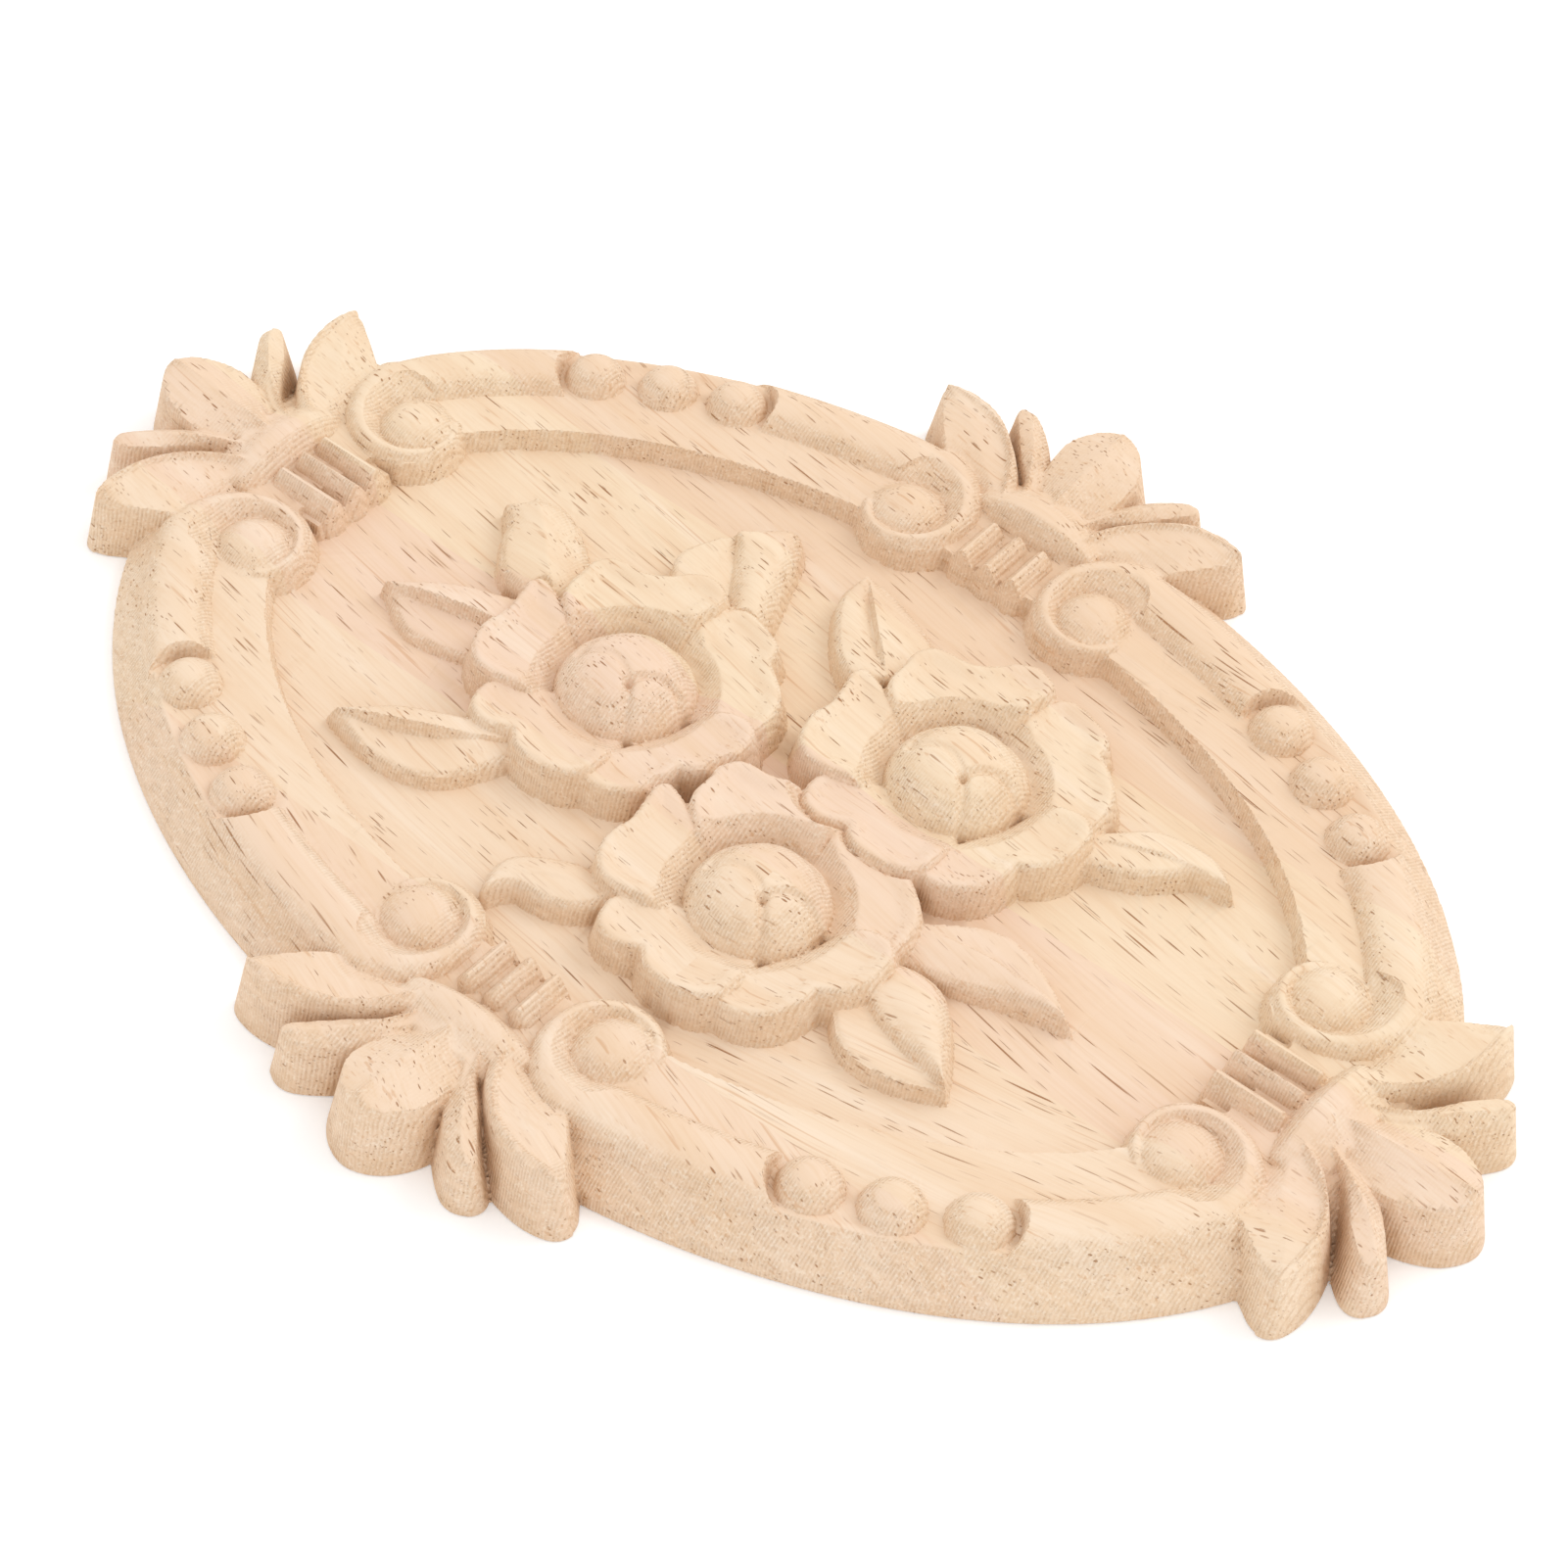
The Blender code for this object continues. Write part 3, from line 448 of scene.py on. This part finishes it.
def depth_inside(x, y, loop):
    """Distance to a closed curve, counted positive inside it."""
    nearest = np.full(np.shape(x), np.inf)
    inside = np.zeros(np.shape(x), bool)
    for (sx, sy), (ex, ey) in zip(loop, np.roll(loop, -1, axis=0)):
        dx, dy = ex - sx, ey - sy
        t = np.clip(((x - sx) * dx + (y - sy) * dy) / (dx * dx + dy * dy), 0, 1)
        nearest = np.minimum(nearest, np.hypot(x - sx - t * dx, y - sy - t * dy))
        crosses = (sy > y) != (ey > y)
        inside ^= crosses & (x < sx + (y - sy) * dx / (dy or 1))
    return np.where(inside, nearest, -nearest)


def palmette(out, across, arch_at, leaves):
    """Five leaves spread from behind the arch, each with a roof-shaped top and steep walls."""
    forward = out - arch_at + WEB_ROOT
    spread = np.hypot(forward, across)
    z = WEB_HEIGHT - 0.22 * spread - PALM_WALL * np.maximum(spread - WEB_REACH, 0)
    z = z - PALM_WALL * np.maximum(np.abs(across) - 0.95 * forward, 0)
    for outline, midrib, drops, heights in leaves:
        for sign in (1, -1) if midrib[2][1] else (1,):
            depth = depth_inside(out, sign * across, loop_through(outline))
            share, side, distance = along(out, sign * across, curve(*midrib, 50))
            from_midrib = distance / (distance + np.maximum(depth, 0) + 0.05)
            top = np.interp(share, (0, 0.35, 0.75, 1), heights)
            top = top - np.where(side > 0, *drops) * (1.2 - 0.7 * share) * from_midrib
            z = round_max(z, top - PALM_WALL * np.maximum(-depth, 0), 0.5)
    return z


def spray_leaf(x, y, outline, midrib, left, right):
    """A bouquet leaf: two halves that meet in a ridge, a hollow, or a step that fades at its ends."""
    depth = depth_inside(x, y, loop_through(outline))
    travel, side, distance = along(x, y, curve(*midrib, 30))
    share = np.maximum(depth, 0) / (np.maximum(depth, 0) + distance + 0.05)
    middle = (left[1] + right[1]) / 2
    apart = 0.25 + 0.75 * smoothstep(travel, 0, 0.35) * (1 - smoothstep(travel, 0.65, 1))
    halves = []
    for edge, rib, bulge in (left, right):
        crest = middle + (rib - middle) * apart
        halves.append(edge + (crest - edge) * share + 4 * bulge * share * (1 - share))
    top = halves[1] + (halves[0] - halves[1]) * smoothstep(side, -0.5, 0.5)
    top = top - 0.5 * (1 - smoothstep(depth, 0, 1.2))
    return top - LEAF_WALL * np.maximum(-depth, 0)


def flower(px, py, under):
    """Five petals and the heart, laid over a surface that dips to the petals' edge."""
    r = np.hypot(px, py)
    theta = np.degrees(np.arctan2(py, px))
    surface = np.full(np.shape(r), BELOW)
    away = np.full(np.shape(r), np.inf)
    for outline, (first, last), heights, heart in PETALS:
        depth = depth_inside(px, py, loop_through(outline))
        turned = np.mod(theta - first + 140, 360) - 140
        top = np.interp(turned, (0, last - first), heights)
        cup = (top - heart) * (1 - smoothstep(r, DOME_RADIUS - 0.5, DOME_RADIUS + 6.5))
        dish = PETAL_DISH * smoothstep(depth, 0.8, 4.5)
        edge = 0.5 * (1 - smoothstep(depth, 0, 1.0))
        surface = np.maximum(surface, top - np.maximum(cup, dish) - edge - LEAF_WALL * np.maximum(-depth, 0))
        away = np.minimum(away, -depth)
    dome = DOME_FOOT + (DOME_HEIGHT - DOME_FOOT) * np.clip(1 - (r / DOME_RADIUS) ** 2.3, 0, 1) ** 0.6
    for path, depth in DOME_CUTS:
        _, _, distance = along(px, py, curve(*path))
        dome = dome - depth * np.exp(-((distance / 0.8) ** 2))
    surface = np.where(r < DOME_RADIUS, np.maximum(surface, dome), surface)
    return np.maximum(surface, np.minimum(under, 9.0 + 1.3 * np.maximum(away, 0)))


def height(x, y):
    """Height of the carved face above the flat back at each point."""
    x = np.asarray(x, float)
    y = np.asarray(y, float)
    inset = ellipse_inset(x, y)
    z = rim(inset)
    ax, ay = np.abs(x), np.abs(y)
    ring = (inset > 1) & (inset < 40)
    for eye, turn, bead in ((EYE_MAJOR, -1, BEADS[0]), (EYE_MINOR, 1, BEADS[2])):
        z[ring] = scroll(ax[ring], ay[ring], z[ring], eye, turn, bead)
    for cx, cy in BEADS:
        r = np.hypot(ax - cx, ay - cy)
        z = round_max(z, cap(r, BEAD_RADIUS, BEAD_FOOT, BEAD_HEIGHT), 0.7)
    for out, across, ribs, leaves in ((ax, y, RIBS_MAJOR, PALM_MAJOR), (ay, x, RIBS_MINOR, PALM_MINOR)):
        near = (out > ribs[0] - 6) & (np.abs(across) < 16)
        z[near] = np.maximum(z[near], fluting(out[near], across[near], ribs))
        near = (out > ribs[2] - 4) & (np.abs(across) < 46)
        z[near] = round_max(z[near], palmette(out[near], across[near], ribs[2], leaves), 0.9)
    for outline, midrib, left, right in SPRAY:
        middle = np.mean(outline, axis=0)
        near = np.hypot(x - middle[0], y - middle[1]) < 30
        z[near] = np.maximum(z[near], spray_leaf(x[near], y[near], outline, midrib, left, right))
    for cx, cy in FLOWERS:
        near = np.hypot(x - cx, y - cy) < 36
        z[near] = flower(x[near] - cx, y[near] - cy, z[near])
    return np.maximum(z, BELOW)


def sample(image, x, y):
    """Value of a picture over the blank at points in millimetres, between its grid points."""
    rows, columns = image.shape
    u = np.clip((x + BLANK_HALF[0]) / (2 * BLANK_HALF[0]) * (columns - 1), 0, columns - 1.001)
    v = np.clip((y + BLANK_HALF[1]) / (2 * BLANK_HALF[1]) * (rows - 1), 0, rows - 1.001)
    i, j = v.astype(int), u.astype(int)
    s, t = v - i, u - j
    low = image[i, j] * (1 - t) + image[i, j + 1] * t
    high = image[i + 1, j] * (1 - t) + image[i + 1, j + 1] * t
    return low * (1 - s) + high * s


def blurred(image, cells):
    """Gaussian blur by way of the Fourier transform."""
    fy = np.fft.fftfreq(image.shape[0])[:, None]
    fx = np.fft.rfftfreq(image.shape[1])[None, :]
    kept = np.exp(-2 * (np.pi * cells) ** 2 * (fx**2 + fy**2))
    return np.fft.irfft2(np.fft.rfft2(image) * kept, image.shape)


def carved_board():
    """The carving as a fine mesh, cut off at the level of the back."""
    columns = round(2 * BLANK_HALF[0] / CELL)
    rows = round(2 * BLANK_HALF[1] / CELL)
    bpy.ops.mesh.primitive_grid_add(x_subdivisions=columns, y_subdivisions=rows, size=1.0)
    board = bpy.context.object
    mesh = board.data
    points = np.empty(len(mesh.vertices) * 3, np.float32)
    mesh.vertices.foreach_get("co", points)
    points = points.reshape(-1, 3).astype(float)
    points[:, 0] *= 2 * BLANK_HALF[0] / np.ptp(points[:, 0])
    points[:, 1] *= 2 * BLANK_HALF[1] / np.ptp(points[:, 1])
    points[:, 2] = height(points[:, 0], points[:, 1])
    mesh.vertices.foreach_set("co", (points / 1000).astype(np.float32).ravel())
    shape = bmesh.new()
    shape.from_mesh(mesh)
    bmesh.ops.triangulate(shape, faces=shape.faces)
    everything = shape.verts[:] + shape.edges[:] + shape.faces[:]
    bmesh.ops.bisect_plane(
        shape, geom=everything, dist=1e-7, plane_co=(0, 0, 0), plane_no=(0, 0, 1), clear_inner=True
    )
    bmesh.ops.triangulate(shape, faces=shape.faces)
    shape.to_mesh(mesh)
    shape.free()
    return board


def thin_out(board):
    """Drop the triangles that the flat places don't need."""
    decimate = board.modifiers.new("Thin out", "DECIMATE")
    decimate.decimate_type = "COLLAPSE"
    decimate.ratio = TRIANGLES / len(board.data.polygons)
    graph = bpy.context.evaluated_depsgraph_get()
    thinned = bpy.data.meshes.new_from_object(board.evaluated_get(graph))
    board.modifiers.clear()
    board.data = thinned


def close_back(board):
    """Level the cut edge and close the flat back across it, with a crisp edge all round."""
    shape = bmesh.new()
    shape.from_mesh(board.data)
    edges = [edge for edge in shape.edges if edge.is_boundary]
    for edge in edges:
        edge.smooth = False
        for vertex in edge.verts:
            vertex.co.z = 0
    back = bmesh.ops.contextual_create(shape, geom=edges)["faces"]
    bmesh.ops.triangulate(shape, faces=back)
    bmesh.ops.recalc_face_normals(shape, faces=shape.faces)
    shape.to_mesh(board.data)
    shape.free()


def local_extreme(image, reach, pick):
    """Highest or lowest value of a picture within a few cells of each point."""
    result = image.copy()
    for i in range(-reach, reach + 1):
        for j in range(-reach, reach + 1):
            if 0 < i * i + j * j <= reach * reach + 1:
                result = pick(result, np.roll(image, (i, j), axis=(0, 1)))
    return result


def measure_hollows(board):
    """Point attributes of depth: 'crease' in narrow cuts, 'hollow' where the surroundings stand higher."""
    xs = np.linspace(-BLANK_HALF[0], BLANK_HALF[0], round(2 * BLANK_HALF[0] / HOLLOW_STEP))
    ys = np.linspace(-BLANK_HALF[1], BLANK_HALF[1], round(2 * BLANK_HALF[1] / HOLLOW_STEP))
    x, y = np.meshgrid(xs, ys)
    surface = np.maximum(height(x.ravel(), y.ravel()).reshape(x.shape), 0)
    bridged = local_extreme(local_extreme(surface, CREASE_REACH, np.maximum), CREASE_REACH, np.minimum)
    crease = blurred(np.clip(bridged - surface, 0, CREASE_LIMIT), CREASE_BLUR)
    hollow = np.clip(blurred(surface, HOLLOW_BLUR) - surface, 0, HOLLOW_LIMIT)
    mesh = board.data
    points = np.empty(len(mesh.vertices) * 3, np.float32)
    mesh.vertices.foreach_get("co", points)
    points = points.reshape(-1, 3) * 1000
    for name, image in (("crease", crease), ("hollow", hollow)):
        values = np.clip(sample(image, points[:, 0], points[:, 1]) / FULL_DEPTH, 0, 1)
        mesh.attributes.new(name, "FLOAT", "POINT").data.foreach_set("value", values.astype(np.float32))


class Nodes:
    """Short ways to add and join shader nodes in one material."""

    def __init__(self, material):
        self.tree = material.node_tree

    def add(self, kind, values=None, **settings):
        node = self.tree.nodes.new("ShaderNode" + kind)
        for name, value in settings.items():
            setattr(node, name, value)
        for key, value in (values or {}).items():
            if isinstance(value, bpy.types.NodeSocket):
                self.tree.links.new(value, node.inputs[key])
            else:
                node.inputs[key].default_value = value
        return node

    def math(self, operation, *values):
        return self.add("Math", dict(enumerate(values)), operation=operation).outputs[0]

    def scaled(self, vector, *factors):
        return self.add("VectorMath", {0: vector, 1: factors}, operation="MULTIPLY").outputs[0]

    def noise(self, vector, detail):
        values = {"Vector": vector, "Scale": 1.0, "Detail": detail}
        return self.add("TexNoise", values).outputs["Fac"]

    def ramp(self, value, start, end, low=0.0, high=1.0, kind="SMOOTHSTEP"):
        values = {"Value": value, "From Min": start, "From Max": end, "To Min": low, "To Max": high}
        return self.add("MapRange", values, interpolation_type=kind).outputs["Result"]

    def mix(self, share, a, b):
        node = self.add("Mix", data_type="RGBA")
        for socket, value in ((node.inputs[0], share), (node.inputs[6], a), (node.inputs[7], b)):
            if isinstance(value, bpy.types.NodeSocket):
                self.tree.links.new(value, socket)
            else:
                socket.default_value = value
        return node.outputs[2]


def pores(n, grain, across, along, half, keep):
    """Short dark streaks along the grain: 1 in a pore, 0 beside it. Lengths are in millimetres."""
    stretched = n.scaled(grain, 1 / along, 1 / across, 1 / across)
    cells = n.add("TexVoronoi", {"Vector": stretched, "Scale": 1.0, "Randomness": 1.0}, feature="F1")
    chosen = n.add("SeparateColor", {"Color": cells.outputs["Color"]}).outputs
    size = n.ramp(chosen["Red"], 0.0, 1.0, 0.45 * half / across, half / across, "LINEAR")
    share = n.math("DIVIDE", cells.outputs["Distance"], size)
    inside = n.ramp(share, 0.6, 1.05, 1.0, 0.0)
    return n.math("MULTIPLY", inside, n.ramp(chosen["Green"], keep, keep + 0.25))


def staves(n, place):
    """Tone of the glued staves and the turn of their grain, by the place across the board."""
    parts = n.add("SeparateXYZ", {0: place}).outputs
    x, y = parts["X"], parts["Y"]
    first, second, third = (edge for edge, colour in STAVES[:3])
    tone = n.add("ValToRGB", {"Fac": n.ramp(y, first, -first, kind="LINEAR")})
    tone.color_ramp.interpolation = "CONSTANT"
    tone.color_ramp.elements[1].position = 0.999
    for edge, colour in STAVES[1:]:
        tone.color_ramp.elements.new((edge - first) / (-2 * first)).color = (*colour, 1)
    tone.color_ramp.elements[0].color = (*STAVES[0][1], 1)
    tone.color_ramp.elements[-1].color = (*STAVES[-1][1], 1)
    lowest = n.math("LESS_THAN", y, second)
    crossing = n.math("MULTIPLY", n.math("GREATER_THAN", y, second), n.math("LESS_THAN", y, third))
    crossing = n.math("MULTIPLY", crossing, n.math("GREATER_THAN", x, FINGER_JOINT))
    turn = n.math("MULTIPLY_ADD", lowest, np.radians(LOWEST_TURN), np.radians(-GRAIN_ANGLE))
    turn = n.math("MULTIPLY_ADD", crossing, np.radians(JOINED_TURN), turn)
    return tone.outputs["Color"], turn


def along_grain(n, place, turn):
    """Place in the board's grain, which wanders a little: x runs along it."""
    turned = n.add("VectorRotate", {"Vector": place, "Angle": turn}, rotation_type="Z_AXIS")
    vector = n.scaled(place, 1 / 60, 1 / 25, 1 / 25)
    drift = n.add("TexNoise", {"Vector": vector, "Scale": 1.0, "Detail": 1.0}).outputs["Color"]
    moved = n.scaled(drift, 0.0, GRAIN_DRIFT, GRAIN_DRIFT)
    return n.add("VectorMath", {0: turned.outputs[0], 1: moved}, operation="ADD").outputs[0]


def grown_wood(n, place, grain, tone):
    """Bands of growth, fibres, thin brown lines and blotches over the stave's tone."""
    bands = n.noise(n.scaled(grain, 1 / 120, 1 / 6, 1 / 6), 3.0)
    fibres = n.noise(n.scaled(grain, 1 / 22, 1 / 0.6, 1 / 0.6), 2.0)
    lines = n.noise(n.scaled(grain, 1 / 130, 1 / 0.9, 1 / 0.9), 2.0)
    blotches = n.noise(n.scaled(place, 1 / 50, 1 / 30, 1 / 30), 2.0)
    colour = n.mix(n.ramp(blotches, 0.35, 0.65, 0.0, 0.35), tone, PALE_BLOTCH)
    colour = n.mix(n.ramp(bands, 0.42, 0.68, 0.0, 0.45), colour, BROWN_BAND)
    colour = n.mix(n.ramp(bands, 0.44, 0.26, 0.0, 0.45), colour, PALE_BAND)
    colour = n.mix(n.ramp(fibres, 0.42, 0.72, 0.0, 0.24), colour, FIBRE)
    colour = n.mix(n.ramp(lines, 0.63, 0.72, 0.0, 0.45), colour, BROWN_LINE)
    return colour, fibres


def all_pores(n, grain):
    """Fine and coarse pores, thicker in some bands than in others."""
    clusters = n.noise(n.scaled(grain, 1 / 45, 1 / 9, 1 / 9), 1.0)
    clusters = n.ramp(clusters, 0.36, 0.58, 0.25, 1.0)
    fine = pores(n, grain, across=0.55, along=15.0, half=0.13, keep=0.1)
    fine = n.math("MULTIPLY", fine, n.math("MULTIPLY", clusters, 0.7))
    coarse = pores(n, grain, across=0.75, along=24.0, half=0.22, keep=0.35)
    return n.math("MAXIMUM", fine, n.math("MULTIPLY", coarse, clusters))


def cutter_ridges(n, place, slope):
    """The cutter's broken ridges across the board, from -1 in a valley to 1 on a ridge, on slopes alone."""
    wander = n.noise(n.scaled(place, 1 / 4, 1 / 9, 1 / 5), 1.0)
    along_x = n.add("SeparateXYZ", {0: place}).outputs["X"]
    along_x = n.math("ADD", along_x, n.math("MULTIPLY", wander, 0.7))
    wave = n.math("SINE", n.math("MULTIPLY", along_x, 2 * np.pi / CUTTER_PITCH))
    broken = n.ramp(n.noise(n.scaled(place, 1 / 5, 1 / 1.3, 1 / 1.3), 1.0), 0.3, 0.7, 0.35, 1.0)
    return n.math("MULTIPLY", n.math("MULTIPLY", wave, broken), slope)


def painted_crease_shade(n, place, wall, colour):
    """Painted shade: browner in the creases and at the foot of the walls, where shade falls."""
    shade_breakup = n.noise(n.scaled(place, 1 / 3.5, 1 / 3.5, 1 / 3.5), 3.0)
    shade_breakup = n.ramp(shade_breakup, 0.3, 0.7, 0.45, 1.0)
    hollow = n.add("Attribute", attribute_name="hollow").outputs["Fac"]
    crease = n.add("Attribute", attribute_name="crease").outputs["Fac"]
    # Painted shade at the foot of the walls, and darker painted shade in the creases
    wall_shade = n.math("MULTIPLY", n.ramp(hollow, 0.0, 1.0, 0.0, 0.34), n.math("MULTIPLY", wall, shade_breakup))
    crease_shade = n.math("MULTIPLY", n.ramp(crease, 0.3, 1.0, 0.0, 0.42), shade_breakup)
    return n.mix(crease_shade, n.mix(wall_shade, colour, WALL_FOOT_SHADE), CREASE_SHADE_COLOUR)


def rubberwood():
    """Unfinished rubberwood, as the cutter left it, with painted shade on its slopes and in its creases."""
    material = bpy.data.materials.new("rubberwood carved")
    material.use_nodes = True
    n = Nodes(material)
    surface = n.tree.nodes["Principled BSDF"]
    place = n.scaled(n.add("TexCoord").outputs["Object"], 1000, 1000, 1000)
    tone, turn = staves(n, place)
    grain = along_grain(n, place, turn)
    colour, fibres = grown_wood(n, place, grain, tone)
    pore = all_pores(n, grain)
    colour = n.mix(n.math("MULTIPLY", pore, 0.82), colour, PORE)

    # Painted shade: cut slopes are browner, and darker still in the cutter's valleys; they are paler where
    # the fibres are torn to fuzz
    normal = n.add("NewGeometry").outputs["Normal"]
    up = n.add("SeparateXYZ", {0: normal}).outputs["Z"]
    slope = n.ramp(up, 0.985, 0.80)
    wall = n.ramp(up, 0.90, 0.45)
    ridge = cutter_ridges(n, place, slope)
    valley_shade = n.math("MULTIPLY", n.ramp(ridge, 0.1, -1.0), 0.36)
    fuzz = n.noise(n.scaled(place, 1 / 0.5, 1 / 0.5, 1 / 0.5), 2.0)
    torn = n.math("MULTIPLY", slope, n.ramp(fuzz, 0.50, 0.68, 0.0, 0.45))
    # Painted shade on the slopes and in the cutter's valleys
    colour = n.mix(n.math("MULTIPLY", slope, 0.12), colour, SLOPE_SHADE)
    colour = n.mix(valley_shade, colour, VALLEY_SHADE)
    colour = n.mix(torn, colour, TORN_FUZZ)
    # Painted shade in the creases and at the foot of the walls
    colour = painted_crease_shade(n, place, wall, colour)

    lift = n.math("MULTIPLY", n.math("MULTIPLY", fuzz, slope), FUZZ_LIFT)
    lift = n.math("ADD", n.math("MULTIPLY", ridge, RIDGE_LIFT), lift)
    lift = n.math("SUBTRACT", lift, n.math("MULTIPLY", pore, PORE_DEPTH))
    lift = n.math("ADD", lift, n.math("MULTIPLY", fibres, FIBRE_LIFT))
    bump = n.add("Bump", {"Height": n.math("MULTIPLY", lift, 0.001), "Distance": 1.0, "Strength": 1.0})
    n.tree.links.new(colour, surface.inputs["Base Color"])
    n.tree.links.new(bump.outputs["Normal"], surface.inputs["Normal"])
    surface.inputs["Roughness"].default_value = 0.72
    surface.inputs["Specular IOR Level"].default_value = 0.2
    return material


def plain(name, colour, roughness):
    material = bpy.data.materials.new(name)
    material.use_nodes = True
    surface = material.node_tree.nodes["Principled BSDF"]
    surface.inputs["Base Color"].default_value = (*colour, 1)
    surface.inputs["Roughness"].default_value = roughness
    return material


def camera_turn():
    """The camera's back, right and upward directions, from its azimuth, elevation and roll."""
    azimuth, elevation, roll = (np.radians(value) for value in (AZIMUTH, ELEVATION, ROLL))
    ahead = np.cos(elevation)
    back = Vector((np.sin(azimuth) * ahead, -np.cos(azimuth) * ahead, np.sin(elevation)))
    level = back.cross(Vector((0, 0, -1))).normalized()
    upward = back.cross(level)
    right = level * np.cos(roll) + upward * np.sin(roll)
    return back, right, back.cross(right)


def add_camera():
    back, right, upward = camera_turn()
    data = bpy.data.cameras.new("Camera")
    data.lens = LENS
    data.sensor_width = 36.0
    data.clip_start = 0.05
    camera = bpy.data.objects.new("Camera", data)
    bpy.context.collection.objects.link(camera)
    place = Vector(TARGET) + back * DISTANCE
    turn = Matrix((right, upward, back)).transposed().to_4x4()
    camera.matrix_world = Matrix.Translation(place) @ turn
    bpy.context.scene.camera = camera


def add_light(name, place, aim, size, power):
    data = bpy.data.lights.new(name, "AREA")
    data.shape = "DISK"
    data.size = size
    data.energy = power
    light = bpy.data.objects.new(name, data)
    bpy.context.collection.objects.link(light)
    light.location = place
    light.rotation_euler = (Vector(aim) - Vector(place)).to_track_quat("-Z", "Y").to_euler()


def add_studio():
    """White table that runs out to the horizon, even light all round and a soft key from behind."""
    bpy.ops.mesh.primitive_plane_add(size=TABLE_SIZE, location=(0, 0, -TABLE_GAP))
    table = bpy.context.object
    table.name = "table"
    white = plain("white table", (0.95, 0.95, 0.95), 0.9)
    glow = white.node_tree.nodes["Principled BSDF"].inputs
    glow["Emission Color"].default_value = (1.0, 1.0, 1.0, 1)
    glow["Emission Strength"].default_value = TABLE_GLOW
    table.data.materials.append(white)
    world = bpy.data.worlds.new("White studio")
    bpy.context.scene.world = world
    world.use_nodes = True
    sky = world.node_tree.nodes["Background"]
    sky.inputs["Color"].default_value = (1.0, 1.0, 1.0, 1)
    sky.inputs["Strength"].default_value = SKY_STRENGTH
    add_light("Key", KEY_PLACE, (0, 0, 0), KEY_SIZE, KEY_POWER)
    bpy.context.scene.view_settings.view_transform = "Standard"


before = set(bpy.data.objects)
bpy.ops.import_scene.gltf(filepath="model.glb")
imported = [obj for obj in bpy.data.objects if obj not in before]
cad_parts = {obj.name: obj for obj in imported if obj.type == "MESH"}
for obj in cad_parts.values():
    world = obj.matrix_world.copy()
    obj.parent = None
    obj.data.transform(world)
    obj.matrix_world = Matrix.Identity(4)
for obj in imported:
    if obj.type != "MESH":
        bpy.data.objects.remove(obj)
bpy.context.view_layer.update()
board = carved_board()
board.name = "carved_board"
thin_out(board)
board.data.shade_smooth()
board.data.set_sharp_from_angle(angle=np.radians(SHARP_ANGLE))
close_back(board)
# Depths of the creases and hollows, which set where shade is painted in the material
measure_hollows(board)
board.data.materials.clear()
board.data.materials.append(rubberwood())
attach(board, "root")
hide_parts("oval_applique")
add_studio()
add_camera()
